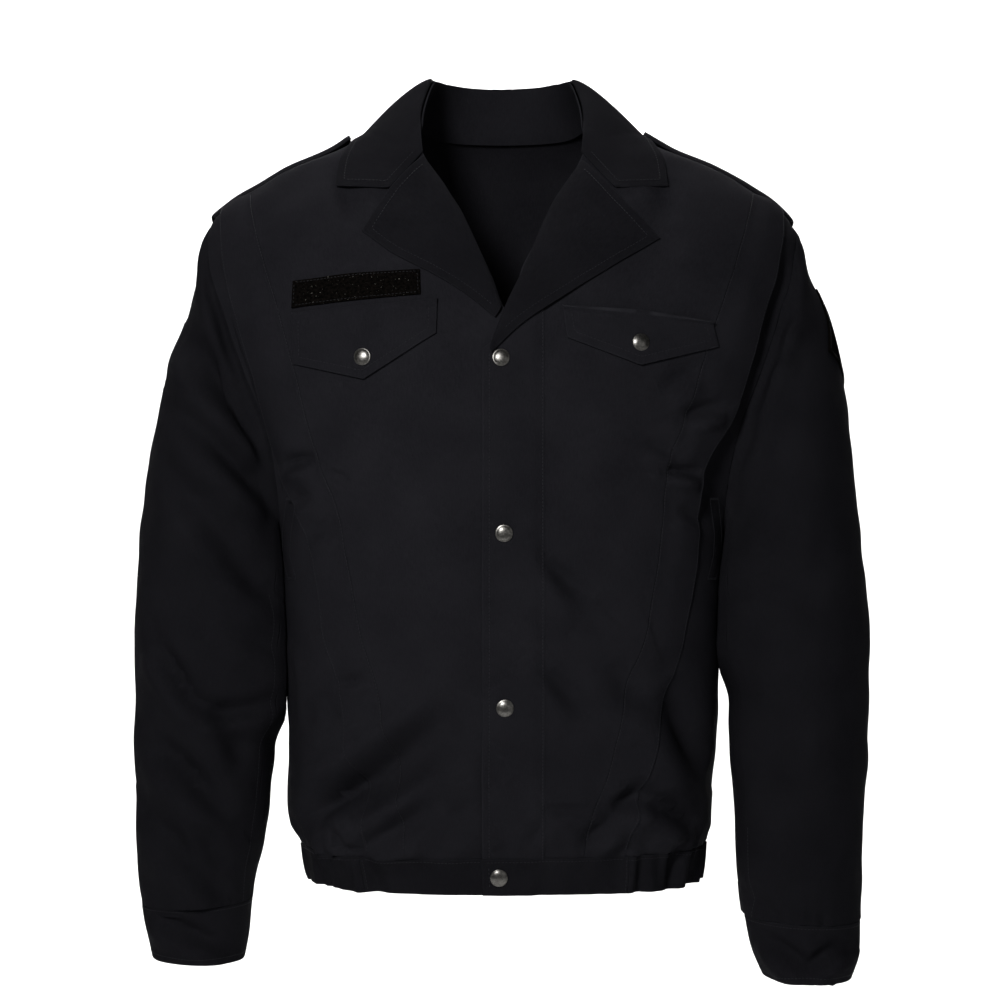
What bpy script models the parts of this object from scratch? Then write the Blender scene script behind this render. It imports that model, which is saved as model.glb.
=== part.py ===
"""Police blouson jacket in its worn, hollow form, held up by the wearer's shoulders.

Metres, +Z up, the wearer faces -Y, so the wearer's left is +X. The origin lies between the two
points where the shoulder seams meet the neck, where the wearer's shoulders carry the jacket.

Every panel is a wall on one torso form. A place on the form is an angle (0 at the centre front,
90 degrees at the wearer's left side, 180 at the centre back) and a height. Seams are read from
short tables of sizes, and each panel is a grid between two seams, given its thickness inwards.
"""

from math import pi, radians

import bmesh
import bpy
import numpy as np

# Driving sizes
WALL = 0.0016  # one layer of the twill with its facing
LAY_WALL = 0.0018  # flaps, lapels, straps: two layers sewn together
SEAM_GAP = 0.0004
LAY_GAP = 0.0008  # between a panel and what lies on it
SLEEVE_GAP = 0.0012  # between the torso and a sleeve that hangs against it
SLEEVE_INSET = 0.0008  # of a sleeve's first ring inside the armhole's edge
SQUARENESS = 2.4  # of the torso's cross-sections: 2 is an ellipse, more is squarer
BAND_TOP = -0.6200
BAND_HEM = -0.6530
NECK_SIDE = 0.0260
PLEAT_RISE = 0.0027  # how far a front's folded edge stands over the side panel
PLEAT_UNDER = 0.0150  # how far the side panel runs in under that edge
ARMHOLE_TOP = -0.0660
ARMHOLE_FOOT = -0.3500
ARMHOLE_REACH = radians(20)
CENTRE_LAP = 0.0120  # the right front runs this far past the centre under the left one
PLACKET_OUTER = -0.0170
PLACKET_STITCH = 0.0360
PLACKET_TOP = -0.1860  # at its outer edge; it slopes up under the lapel
PLACKET_SLOPE = 0.72
BAND_LAP_END = 0.0220
GATHERS = 34  # waves of the elasticated waistband
GATHER_DEPTH = 0.0016
SNAP_RADIUS = 0.0075
SNAP_HEIGHT = 0.0024
SNAP_SIDES = 14

CLOTH_COLOUR = (0.012, 0.012, 0.018, 1)
TAPE_COLOUR = (0.010, 0.008, 0.008, 1)
SNAP_COLOUR = (0.22, 0.22, 0.21, 1)


def table(names, *rows):
    """Named columns from rows of numbers, lowest first."""
    return dict(zip(names.split(), np.array(rows, float).T))


# Cross-sections of the torso, from the waist seam to the neck. Above the armholes they shrink
# to the shoulder ridge, where half_width is how far out the shoulder seam is at that height.
BODY = table(
    "z half_width front back centre_x",
    (-0.6530, 0.1765, 0.1150, 0.1150, 0.0030),
    (-0.6195, 0.1815, 0.1190, 0.1180, 0.0015),
    (-0.6030, 0.1885, 0.1250, 0.1225, -0.0010),
    (-0.5850, 0.1905, 0.1275, 0.1235, -0.0020),
    (-0.5500, 0.1915, 0.1275, 0.1225, -0.0010),
    (-0.5000, 0.1930, 0.1270, 0.1210, 0.0010),
    (-0.4500, 0.1950, 0.1275, 0.1190, 0.0000),
    (-0.4000, 0.1960, 0.1285, 0.1190, 0.0000),
    (-0.3600, 0.1980, 0.1295, 0.1210, 0.0000),
    (-0.3300, 0.2015, 0.1300, 0.1230, 0.0000),
    (-0.3000, 0.2070, 0.1305, 0.1255, 0.0000),
    (-0.2500, 0.2215, 0.1300, 0.1290, 0.0000),
    (-0.2000, 0.2430, 0.1265, 0.1310, 0.0000),
    (-0.1500, 0.2595, 0.1190, 0.1300, 0.0000),
    (-0.1100, 0.2685, 0.1080, 0.1260, 0.0000),
    (-0.0850, 0.2670, 0.0985, 0.1210, 0.0000),
    (-0.0660, 0.2595, 0.0905, 0.1150, 0.0000),
    (-0.0500, 0.2440, 0.0830, 0.1080, 0.0000),
    (-0.0360, 0.2215, 0.0760, 0.1010, 0.0000),
    (-0.0180, 0.1880, 0.0660, 0.0920, 0.0000),
    (-0.0030, 0.1500, 0.0590, 0.0830, 0.0000),
    (0.0100, 0.1240, 0.0520, 0.0730, 0.0000),
    (0.0200, 0.0990, 0.0450, 0.0620, 0.0000),
    (0.0280, 0.0750, 0.0370, 0.0520, 0.0000),
    (0.0420, 0.0350, 0.0200, 0.0250, 0.0000),
    (0.0600, 0.0050, 0.0050, 0.0050, 0.0000),
)

# How far out from the centre line the fronts' seams lie, as seen from the front: the stitch line
# that holds each pleat and the pleat's folded edge, for the wearer's right and left.
PLEATS = table(
    "z right_stitch right_fold left_stitch left_fold",
    (-0.6200, 0.0800, 0.1170, 0.0705, 0.1050),
    (-0.5850, 0.0855, 0.1170, 0.0775, 0.1140),
    (-0.5500, 0.0920, 0.1290, 0.0910, 0.1245),
    (-0.5150, 0.1005, 0.1365, 0.0990, 0.1320),
    (-0.4750, 0.1085, 0.1410, 0.1085, 0.1470),
    (-0.4300, 0.1230, 0.1560, 0.1240, 0.1580),
    (-0.3700, 0.1340, 0.1625, 0.1345, 0.1680),
    (-0.3250, 0.1425, 0.1790, 0.1390, 0.1700),
    (-0.2900, 0.1560, 0.1940, 0.1430, 0.1745),
    (-0.2460, 0.1700, 0.2080, 0.1575, 0.1975),
    (-0.2050, 0.1795, 0.2180, 0.1720, 0.2140),
    (-0.1600, 0.1920, 0.2315, 0.1860, 0.2265),
    (-0.1100, 0.2085, 0.2445, 0.2040, 0.2430),
    (-0.0555, 0.2225, 0.2500, 0.2205, 0.2500),
    (-0.0385, 0.2255, 0.2255, 0.2255, 0.2255),
)
STITCH_TOP = -0.0385  # where the stitch line meets the shoulder seam
FOLD_TOP = -0.0552
SIDE_TOP = -0.0432  # where the side panel's hidden edge meets the shoulder seam

# The fronts' inner edges: under the placket, up the roll line, then round the neck.
EDGES = table(
    "z right left",
    (-0.6200, -CENTRE_LAP, 0.0125),
    (-0.1660, -CENTRE_LAP, 0.0125),
    (-0.1500, -0.0010, 0.0125),
    (-0.1250, 0.0080, 0.0145),
    (-0.0920, 0.0225, 0.0290),
    (-0.0600, 0.0375, 0.0425),
    (-0.0320, 0.0560, 0.0610),
    (-0.0130, 0.0680, 0.0700),
    (0.0050, 0.0760, 0.0770),
    (0.0260, 0.0815, 0.0815),
)

# The back's neck edge, from the centre to the shoulder seam.
BACK_NECK = table(
    "x z",
    (0.0000, 0.0170),
    (0.0300, 0.0175),
    (0.0600, 0.0195),
    (0.0815, 0.0260),
)

BACK_BLADE = 0.1100  # how far out, at the waist, the line runs that ends at the neck's side

# Soft folds on the fronts and the back as seen from the front: a ridge from one place to another.
FRONT_FOLDS = table(
    "x0 z0 x1 z1 width height",
    (-0.160, -0.592, -0.128, -0.556, 0.010, 0.0030),
    (-0.097, -0.552, -0.048, -0.500, 0.011, 0.0030),
    (-0.070, -0.606, -0.038, -0.584, 0.009, 0.0025),
    (0.100, -0.585, 0.143, -0.596, 0.009, 0.0028),
    (0.133, -0.512, 0.171, -0.550, 0.011, 0.0030),
    (0.041, -0.470, 0.074, -0.500, 0.012, 0.0022),
)
BACK_FOLDS = table(
    "x0 z0 x1 z1 width height",
    (-0.130, -0.585, -0.060, -0.545, 0.013, 0.0035),
    (0.140, -0.580, 0.050, -0.560, 0.013, 0.0035),
    (-0.020, -0.590, 0.040, -0.600, 0.012, 0.0030),
    (-0.120, -0.470, -0.030, -0.440, 0.018, 0.0030),
    (0.130, -0.450, 0.040, -0.415, 0.018, 0.0030),
    (-0.165, -0.330, -0.120, -0.240, 0.016, 0.0030),
    (0.165, -0.330, 0.120, -0.240, 0.016, 0.0030),
)

# A ring of a sleeve runs from its outer end to its inner end, as seen from the front, and bulges
# half_depth forwards and back of mid_y. The first ring is sewn into the armhole.
RIGHT_SLEEVE = table(
    "outer_x outer_z inner_x inner_z mid_y half_depth",
    (0.2595, -0.0660, 0.1990, -0.3500, 0.0020, 0.0600),
    (0.2695, -0.0860, 0.2010, -0.3560, 0.0020, 0.0680),
    (0.2735, -0.1150, 0.2005, -0.3640, 0.0020, 0.0730),
    (0.2830, -0.1550, 0.2000, -0.3740, 0.0010, 0.0760),
    (0.2985, -0.1930, 0.1995, -0.3860, -0.0010, 0.0780),
    (0.3095, -0.2450, 0.1990, -0.4020, -0.0030, 0.0780),
    (0.3200, -0.3050, 0.1990, -0.4220, -0.0050, 0.0765),
    (0.3250, -0.3650, 0.1990, -0.4470, -0.0080, 0.0745),
    (0.3285, -0.4200, 0.1985, -0.4750, -0.0120, 0.0720),
    (0.3285, -0.4700, 0.1985, -0.5030, -0.0160, 0.0700),
    (0.3275, -0.5200, 0.2020, -0.5350, -0.0200, 0.0680),
    (0.3250, -0.5700, 0.2065, -0.5750, -0.0250, 0.0650),
    (0.3230, -0.6200, 0.2115, -0.6170, -0.0290, 0.0610),
    (0.3215, -0.6500, 0.2170, -0.6460, -0.0320, 0.0580),
    (0.3175, -0.6705, 0.2205, -0.6660, -0.0350, 0.0540),
)
LEFT_SLEEVE = table(
    "outer_x outer_z inner_x inner_z mid_y half_depth",
    (0.2595, -0.0660, 0.1990, -0.3500, 0.0020, 0.0600),
    (0.2695, -0.0860, 0.2010, -0.3560, 0.0020, 0.0680),
    (0.2755, -0.1120, 0.2005, -0.3640, 0.0010, 0.0730),
    (0.2925, -0.1520, 0.2000, -0.3740, -0.0010, 0.0760),
    (0.3050, -0.2060, 0.1995, -0.3860, -0.0040, 0.0780),
    (0.3130, -0.2700, 0.1990, -0.4020, -0.0070, 0.0780),
    (0.3185, -0.3350, 0.1990, -0.4220, -0.0110, 0.0765),
    (0.3220, -0.3850, 0.1990, -0.4470, -0.0170, 0.0745),
    (0.3250, -0.4300, 0.2000, -0.4750, -0.0250, 0.0720),
    (0.3240, -0.4800, 0.2005, -0.5030, -0.0340, 0.0700),
    (0.3215, -0.5300, 0.2015, -0.5400, -0.0440, 0.0680),
    (0.3180, -0.5850, 0.2035, -0.5850, -0.0540, 0.0650),
    (0.3150, -0.6300, 0.2055, -0.6260, -0.0620, 0.0610),
    (0.3130, -0.6600, 0.2080, -0.6550, -0.0670, 0.0580),
    (0.3125, -0.6780, 0.2100, -0.6740, -0.0710, 0.0550),
)
RIGHT_CUFF = table(
    "outer_x outer_z inner_x inner_z mid_y half_depth",
    (0.3170, -0.6711, 0.2210, -0.6666, -0.0355, 0.0530),
    (0.3140, -0.6950, 0.2235, -0.6930, -0.0370, 0.0500),
    (0.3090, -0.7170, 0.2275, -0.7190, -0.0390, 0.0475),
)
LEFT_CUFF = table(
    "outer_x outer_z inner_x inner_z mid_y half_depth",
    (0.3120, -0.6790, 0.2105, -0.6750, -0.0715, 0.0540),
    (0.3105, -0.7040, 0.2160, -0.7020, -0.0745, 0.0510),
    (0.3030, -0.7280, 0.2270, -0.7270, -0.0780, 0.0470),
)
# Sleeve creases as seen from the front, and their like on the back of the arm.
RIGHT_SLEEVE_FOLDS = table(
    "x0 z0 x1 z1 width height",
    (-0.262, -0.195, -0.212, -0.270, 0.013, 0.0040),
    (-0.272, -0.250, -0.208, -0.315, 0.013, 0.0038),
    (-0.281, -0.320, -0.236, -0.385, 0.013, 0.0035),
    (-0.292, -0.455, -0.240, -0.530, 0.015, 0.0045),
    (-0.303, -0.535, -0.246, -0.605, 0.014, 0.0040),
)
LEFT_SLEEVE_FOLDS = table(
    "x0 z0 x1 z1 width height",
    (0.238, -0.165, 0.262, -0.150, 0.012, 0.0025),
    (0.256, -0.490, 0.222, -0.580, 0.018, 0.0035),
    (0.290, -0.350, 0.225, -0.420, 0.018, 0.0030),
    (0.300, -0.610, 0.235, -0.640, 0.013, 0.0035),
)

# The collar's fold round the neck and its outer edge, from the centre back to the front end.
COLLAR = table(
    "fold_x fold_y fold_z edge_x edge_y edge_z",
    (0.0000, 0.0560, 0.0620, 0.0000, 0.0900, -0.0140),
    (0.0300, 0.0500, 0.0630, 0.0560, 0.0840, -0.0110),
    (0.0520, 0.0290, 0.0640, 0.1010, 0.0540, -0.0010),
    (0.0610, 0.0030, 0.0625, 0.1260, 0.0060, 0.0110),
    (0.0680, -0.0170, 0.0450, 0.1350, -0.0280, -0.0050),
    (0.0715, -0.0380, 0.0210, 0.1410, -0.0470, -0.0260),
    (0.0690, -0.0580, -0.0120, 0.1440, -0.0640, -0.0440),
)
GORGE_NOTCH = (0.0975, -0.0455)  # out from the centre and up: where the lapel leaves the collar
COLLAR_ROLL = 0.0090
STAND_REACH = 0.86  # of the collar's half length
STAND_DROP = 0.0300  # from the shoulder seam down to the stand's front ends
STAND_INSET = 0.975
STAND_BELOW_FOLD = 0.0045
LAPEL_ROLL = 0.0050

# Lapels as seen from the front, from the bottom up: the roll line and the free outer edge.
RIGHT_LAPEL = table(
    "roll_x roll_z edge_x edge_z",
    (0.0000, -0.1500, -0.0060, -0.1590),
    (-0.0130, -0.1140, -0.0300, -0.1395),
    (-0.0290, -0.0785, -0.0600, -0.1205),
    (-0.0480, -0.0430, -0.0935, -0.1030),
    (-0.0680, -0.0140, -0.1210, -0.0830),
)
LEFT_LAPEL = table(
    "roll_x roll_z edge_x edge_z",
    (-0.0105, -0.1840, -0.0090, -0.1890),
    (0.0015, -0.1520, 0.0165, -0.1655),
    (0.0190, -0.1150, 0.0560, -0.1390),
    (0.0420, -0.0605, 0.1000, -0.1105),
    (0.0692, -0.0180, 0.1365, -0.0885),
)
RIGHT_NOTCH = (-0.0960, -0.0440)
LEFT_NOTCH = (0.1015, -0.0540)

# Chest flaps as seen from the front: the two ends of the top edge, then down to the point.
RIGHT_FLAP = table(
    "top_x top_z low_x low_z",
    (-0.1805, -0.1535, -0.1790, -0.1980),
    (-0.1180, -0.1480, -0.1180, -0.2120),
    (-0.0550, -0.1430, -0.0560, -0.1730),
)
LEFT_FLAP = table(
    "top_x top_z low_x low_z",
    (0.0510, -0.1490, 0.0550, -0.1770),
    (0.1160, -0.1520, 0.1180, -0.2000),
    (0.1800, -0.1610, 0.1865, -0.1830),
)
NAME_TAPE = table(
    "top_x top_z low_x low_z",
    (-0.1805, -0.1260, -0.1805, -0.1500),
    (-0.1240, -0.1205, -0.1240, -0.1440),
    (-0.0705, -0.1175, -0.0695, -0.1395),
)
FRONT_SNAPS = table(
    "x z",
    (-0.0010, -0.1940),
    (0.0016, -0.3430),
    (0.0024, -0.4915),
    (-0.0027, -0.6370),
)
FLAP_SNAPS = table("x z", (-0.1185, -0.1930), (0.1180, -0.1805))

# A shoulder strap from above: its front and back edges, from the collar to the armhole seam.
STRAP = table(
    "x front_y back_y",
    (0.1330, 0.0080, 0.0300),
    (0.1380, 0.0030, 0.0350),
    (0.1950, 0.0025, 0.0380),
    (0.2530, 0.0030, 0.0350),
)
STRAP_GAP = 0.0012
STRAP_END = 0.0450  # how much of the strap rises at its free end
STRAP_END_LIFT = 0.0040

# The hook-and-loop patch on the left upper sleeve. It leans forwards, as the sleeve's twist has it.
PATCH_WIDE = 0.0650
PATCH_TALL = 0.0670
PATCH_LEAN = radians(30)
PATCH_GAP = 0.0010
PATCH_AHEAD = -0.0080  # of the sleeve's outermost line
PATCH_HEIGHT = -0.1730

SLEEVE_RINGS = 24
SLEEVE_SIDES = 24
SEWN_FADE = 0.28  # of a sleeve's length over which it leaves the armhole's shape
PLEAT_STEPS = (0.22, 0.45, 0.72, 1.0)  # columns of the front between the stitch line and the fold
PLEAT_LIFTS = (0.45, 1, 1, 1)
RING_NAMES = "outer_x outer_z inner_x inner_z mid_y half_depth".split()


def smooth(rows, column, at):
    """A column's value between its rows, with no overshoot and no corner."""
    x = rows["z"] if "z" in rows and column != "z" else np.linspace(0, 1, len(rows[column]))
    return spline(x, rows[column], at)


def spline(x, y, at):
    """Monotone cubic through (x, y), read at any array of places."""
    at = np.clip(np.asarray(at, float), x[0], x[-1])
    step = np.diff(x)
    slope = np.diff(y) / step
    tangent = np.zeros_like(y)
    same = slope[1:] * slope[:-1] > 0
    inner = np.where(same, 2 * slope[1:] * slope[:-1] / np.where(same, slope[1:] + slope[:-1], 1), 0)
    tangent[1:-1], tangent[0], tangent[-1] = inner, slope[0], slope[-1]
    i = np.clip(np.searchsorted(x, at, side="right") - 1, 0, len(step) - 1)
    f = (at - x[i]) / step[i]
    return (
        y[i] * (1 + 2 * f) * (1 - f) ** 2
        + y[i + 1] * f * f * (3 - 2 * f)
        + step[i] * (tangent[i] * f * (1 - f) ** 2 + tangent[i + 1] * f * f * (f - 1))
    )


def form(turn, z):
    """The torso form's points at an angle round the body and a height."""
    turn, z = np.broadcast_arrays(np.asarray(turn, float), np.asarray(z, float))
    wide = smooth(BODY, "half_width", z)
    deep = np.where(np.cos(turn) > 0, -smooth(BODY, "front", z), smooth(BODY, "back", z))
    side = np.sin(turn)
    y = deep * np.maximum(1 - np.abs(side) ** SQUARENESS, 0) ** (1 / SQUARENESS)
    return np.stack([smooth(BODY, "centre_x", z) + wide * side, y, z], -1)


def turn_at(x, z):
    """The angle of the front's place that is seen at x, z from the front."""
    ratio = (np.asarray(x) - smooth(BODY, "centre_x", z)) / smooth(BODY, "half_width", z)
    return np.arcsin(np.clip(ratio, -1, 1))


def reach(points):
    """1 on the form, less inside it and more outside."""
    x, y, z = np.moveaxis(points, -1, 0)
    wide = smooth(BODY, "half_width", z)
    deep = np.where(y < 0, smooth(BODY, "front", z), smooth(BODY, "back", z))
    x = x - smooth(BODY, "centre_x", z)
    return (np.abs(x / wide) ** SQUARENESS + np.abs(y / deep) ** SQUARENESS) ** (1 / SQUARENESS)


def away(points):
    """The form's outward direction at points near it, and each point's distance outside it."""
    step = 0.0005
    slope = np.stack(
        [(reach(points + step * e) - reach(points - step * e)) / (2 * step) for e in np.eye(3)], -1
    )
    steep = np.linalg.norm(slope, axis=-1, keepdims=True)
    return slope / steep, ((reach(points) - 1) / steep[..., 0])


def clear(points, gap):
    """The points, with those less than gap outside the form moved out to it."""
    for _ in range(4):
        direction, out = away(points)
        points = points + direction * np.maximum(gap - out, 0)[..., None]
    return points


def on_front(x, z, lift):
    """Points over the front of the torso, seen at x, z and moved out by lift."""
    points = form(turn_at(x, z), z)
    return points + away(points)[0] * np.asarray(lift)[..., None]


def along(rows, names, at):
    """A smooth curve through a table's rows, with its places spread evenly from 0 to 1."""
    return np.stack([spline(np.linspace(0, 1, len(rows[n])), rows[n], at) for n in names], -1)


def folded(points, rows):
    """How far the folds of a table raise each point, seen from the front."""
    x, z = points[..., 0], points[..., 2]
    total = np.zeros_like(x)
    for x0, z0, x1, z1, width, height in zip(*rows.values()):
        dx, dz = x1 - x0, z1 - z0
        part = np.clip(((x - x0) * dx + (z - z0) * dz) / (dx * dx + dz * dz), 0, 1)
        apart = np.hypot(x - x0 - part * dx, z - z0 - part * dz)
        total += height * np.exp(-((apart / width) ** 2))
    return total


def patch(low, high, start, end, rows, columns):
    """A grid between four edges: low and high run along the columns, start and end along the rows."""
    u, v = np.linspace(0, 1, columns)[None, :, None], np.linspace(0, 1, rows)[:, None, None]
    flat_u, flat_v = u[0, :, 0], v[:, 0, 0]
    bottom, top = low(flat_u)[None], high(flat_u)[None]
    left, right = start(flat_v)[:, None], end(flat_v)[:, None]
    corners = (
        (1 - u) * (1 - v) * bottom[:, :1]
        + u * (1 - v) * bottom[:, -1:]
        + (1 - u) * v * top[:, :1]
        + u * v * top[:, -1:]
    )
    return (1 - v) * bottom + v * top + (1 - u) * left + u * right - corners


def broken(*points):
    """A function that reads a line of straight stretches through points, from 0 to 1."""
    points = np.array(points, float)
    at = np.linspace(0, 1, len(points))
    return lambda t: np.stack([np.interp(t, at, points[:, k]) for k in range(points.shape[1])], -1)


def material(name, colour, roughness, metallic=0.0):
    made = bpy.data.materials.new(name)
    made.use_nodes = True
    shader = made.node_tree.nodes["Principled BSDF"]
    shader.inputs["Base Color"].default_value = colour
    shader.inputs["Roughness"].default_value = roughness
    shader.inputs["Metallic"].default_value = metallic
    return made


def solid(name, vertices, faces, finish):
    """An object from a closed mesh, with its faces turned outwards."""
    mesh = bpy.data.meshes.new(name)
    mesh.from_pydata([tuple(v) for v in vertices], [], faces)
    shape = bmesh.new()
    shape.from_mesh(mesh)
    bmesh.ops.recalc_face_normals(shape, faces=shape.faces)
    shape.to_mesh(mesh)
    shape.free()
    mesh.shade_smooth()
    mesh.set_sharp_from_angle(angle=radians(40))
    mesh.materials.append(finish)
    made = bpy.data.objects.new(name, mesh)
    bpy.context.collection.objects.link(made)
    return made


def grid_normals(grid, inside, closed):
    """Unit directions square to a grid, on the side away from the points of inside."""
    if closed:
        across = np.roll(grid, -1, 1) - np.roll(grid, 1, 1)
    else:
        across = np.gradient(grid, axis=1)
    normal = np.cross(across, np.gradient(grid, axis=0))
    normal /= np.linalg.norm(normal, axis=-1, keepdims=True) + 1e-12
    facing = np.sum(normal * (grid - inside), -1).mean()
    return normal * (1 if facing > 0 else -1)


def shell(name, grid, inside, thickness, finish, closed=False):
    """A closed wall: the grid is its outer face, and its inner face lies thickness inwards."""
    rows, columns = grid.shape[:2]
    inner = grid - grid_normals(grid, inside, closed) * thickness
    vertices = np.concatenate([grid.reshape(-1, 3), inner.reshape(-1, 3)])
    back = rows * columns

    def at(r, c):
        return r * columns + c % columns

    faces = []
    for r in range(rows - 1):
        for c in range(columns if closed else columns - 1):
            a, b, d, e = at(r, c), at(r, c + 1), at(r + 1, c + 1), at(r + 1, c)
            faces += [(a, b, d), (a, d, e), (back + a, back + d, back + b), (back + a, back + e, back + d)]
    rim = []
    for r in (0, rows - 1):
        rim += [(at(r, c), at(r, c + 1)) for c in range(columns if closed else columns - 1)]
    if not closed:
        for c in (0, columns - 1):
            rim += [(at(r, c), at(r + 1, c)) for r in range(rows - 1)]
    faces += [(a, b, back + b, back + a) for a, b in rim]
    return solid(name, vertices, faces, finish)


def spread(count):
    """Places from 0 to 1 that lie closer together towards both ends."""
    even = np.linspace(0, 1, count)
    return 0.55 * even + 0.45 * (1 - np.cos(pi * even)) / 2


def axis_of(grid):
    """The torso's axis at each point's height, which its panels face away from."""
    middle = np.zeros_like(grid)
    middle[..., 2] = np.minimum(grid[..., 2], -0.12)
    return middle


def make_front(side, name, finish):
    """A front from its inner edge to its pleat's folded edge, which stands over the side panel."""
    sign = 1 if side == "left" else -1
    t = 1 - (1 - spread(26)) ** 1.35
    low = BAND_TOP + SEAM_GAP
    heights = [low + (top - low) * t for top in (NECK_SIDE, STITCH_TOP, FOLD_TOP)]
    outs = [
        smooth(EDGES, side, heights[0]),
        smooth(PLEATS, side + "_stitch", heights[1]),
        smooth(PLEATS, side + "_fold", heights[2]),
    ]
    edge, stitch, fold = [
        np.stack([turn_at(sign * out, z), z], -1) for out, z in zip(outs, heights)
    ]
    edge[-1, 0] = stitch[-1, 0] = fold[-1, 0] = sign * (pi / 2 - SEAM_GAP / 0.04)
    plain = [edge + (stitch - edge) * f for f in np.linspace(0, 1, 7)]
    pleat = [stitch + (fold - stitch) * f for f in PLEAT_STEPS]
    rise = np.array([0] * len(plain) + list(PLEAT_LIFTS)) * PLEAT_RISE
    places = np.stack(plain + pleat, 1)
    points = form(places[..., 0], places[..., 1])
    lift = rise[None, :] + folded(points, FRONT_FOLDS)
    points = points + away(points)[0] * lift[..., None]
    return shell(name, points, axis_of(points), WALL, finish)


def armhole(theta, inset):
    """A place on an armhole's seam: 0 at the shoulder, 90 degrees in front, 180 underneath."""
    middle, half = (ARMHOLE_TOP + ARMHOLE_FOOT) / 2, (ARMHOLE_TOP - ARMHOLE_FOOT) / 2
    z = middle + (half - inset) * np.cos(theta)
    swing = (ARMHOLE_REACH - inset / 0.16) * np.abs(np.sin(theta)) ** 0.8
    return np.stack([pi / 2 - np.sign(np.sin(theta)) * swing, z], -1)


def seam_and_armhole(front, count_low, count_high):
    """Places up the left side seam, then up one half of the armhole to the shoulder."""
    bit = SEAM_GAP / 0.2 * (-1 if front else 1)
    low = np.linspace(BAND_TOP + SEAM_GAP, ARMHOLE_FOOT - 0.004, count_low)
    seam = np.stack([np.full_like(low, pi / 2 + bit), low], -1)
    theta = np.linspace(pi, 0.0, count_high + 1)[1:] * (1 if front else -1)
    hole = armhole(theta, -SEAM_GAP)
    hole[-1] = (pi / 2 + bit, ARMHOLE_TOP + 0.0008)
    return np.concatenate([seam, hole])


def make_side(side, name, finish):
    """The panel under a pleat, round to the side seam and up the front of the armhole."""
    sign = 1 if side == "left" else -1
    outer = seam_and_armhole(True, 10, 12)
    t = np.linspace(0, 1, len(outer))
    z = np.interp(t, (0, 1), (BAND_TOP + SEAM_GAP, SIDE_TOP))
    under = smooth(PLEATS, side + "_fold", np.minimum(z, FOLD_TOP)) - PLEAT_UNDER
    inner = np.stack([turn_at(under, z), z], -1)
    inner[-1, 0] = outer[-1, 0]
    places = np.stack([inner + (outer - inner) * f for f in np.linspace(0, 1, 5)], 1)
    points = form(sign * places[..., 0], places[..., 1])
    return shell(name, points, axis_of(points), WALL, finish)


def make_back(finish):
    """The back, from side seam to side seam, with both armholes and the neck edge."""
    side = seam_and_armhole(False, 11, 12)
    low = side[0, 1]
    t = (side[:, 1] - low) / (side[-1, 1] - low)
    blade_z = low + (NECK_SIDE - low) * t
    blade_x = BACK_BLADE + (BACK_NECK["x"][-1] - BACK_BLADE) * t
    blade = np.stack([pi - turn_at(blade_x, blade_z), blade_z], -1)
    blade[-1, 0] = side[-1, 0]
    outer = [side + (blade - side) * f for f in np.linspace(0, 1, 6)]
    neck_x = np.linspace(BACK_NECK["x"][-1], 0, 6)
    neck_z = spline(BACK_NECK["x"], BACK_NECK["z"], neck_x)
    inner = []
    for f, x, z in list(zip(np.linspace(0, 1, 6), neck_x, neck_z))[1:]:
        column_z = low + (z - low) * t
        column_x = blade_x * (1 - f)
        inner.append(np.stack([pi - turn_at(column_x, column_z), column_z], -1))
    half = outer + inner
    places = np.stack(half + [c * (-1, 1) + (2 * pi, 0) for c in half[-2::-1]], 1)
    points = form(places[..., 0], places[..., 1])
    points = points + away(points)[0] * folded(points, BACK_FOLDS)[..., None]
    return shell("back", points, axis_of(points), WALL, finish)


def ring_point(rows, at, theta):
    """A sleeve's points, for the left arm: 0 is outermost, 90 degrees is in front."""
    outer_x, outer_z, inner_x, inner_z, mid_y, deep = np.moveaxis(along(rows, RING_NAMES, at), -1, 0)
    c, s = np.cos(theta), np.sin(theta)
    x = (outer_x + inner_x) / 2 + (outer_x - inner_x) / 2 * c
    z = (outer_z + inner_z) / 2 + (outer_z - inner_z) / 2 * c
    return np.stack([x, mid_y - deep * s, z], -1)


def sleeve_form(rows, at, theta):
    """A sleeve's smooth points, which start as the armhole and become the table's rings."""
    turned = np.where(theta > pi, theta - 2 * pi, theta)
    hole = armhole(turned, SLEEVE_INSET)
    sewn = form(hole[..., 0], hole[..., 1]) - ring_point(rows, 0 * at, theta)
    fade = np.clip(1 - at / SEWN_FADE, 0, 1) ** 2
    return ring_point(rows, at, theta) + fade[..., None] * sewn


def sleeve_surface(rows, folds, sign, at, theta, lift):
    """A sleeve's points with its folds, moved out by lift and clear of the torso."""
    at, theta = np.broadcast_arrays(at, theta)
    points = sleeve_form(rows, at, theta)
    down = sleeve_form(rows, at + 0.01, theta) - sleeve_form(rows, at - 0.01, theta)
    round_it = sleeve_form(rows, at, theta + 0.02) - sleeve_form(rows, at, theta - 0.02)
    normal = np.cross(round_it, down)
    normal /= np.linalg.norm(normal, axis=-1, keepdims=True) + 1e-12
    middle = (sleeve_form(rows, at, 0 * theta) + sleeve_form(rows, at, 0 * theta + pi)) / 2
    normal *= np.where(np.sum(normal * (points - middle), -1) > 0, 1, -1)[..., None]
    free = np.clip(at * 8 - 0.5, 0, 1)
    points = points + normal * (folded(points * (sign, 1, 1), folds) * free + lift)[..., None]
    return clear(points, SLEEVE_GAP) * (sign, 1, 1)


def middle_of(grid):
    return np.broadcast_to(grid.mean(1, keepdims=True), grid.shape)


def turns_round():
    return np.linspace(0, 2 * pi, SLEEVE_SIDES, endpoint=False)[None, :]


def make_sleeve(rows, folds, sign, name, finish):
    at = np.linspace(0, 1, SLEEVE_RINGS)[:, None]
    grid = sleeve_surface(rows, folds, sign, at, turns_round(), 0)
    return shell(name, grid, middle_of(grid), WALL, finish, closed=True)


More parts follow.
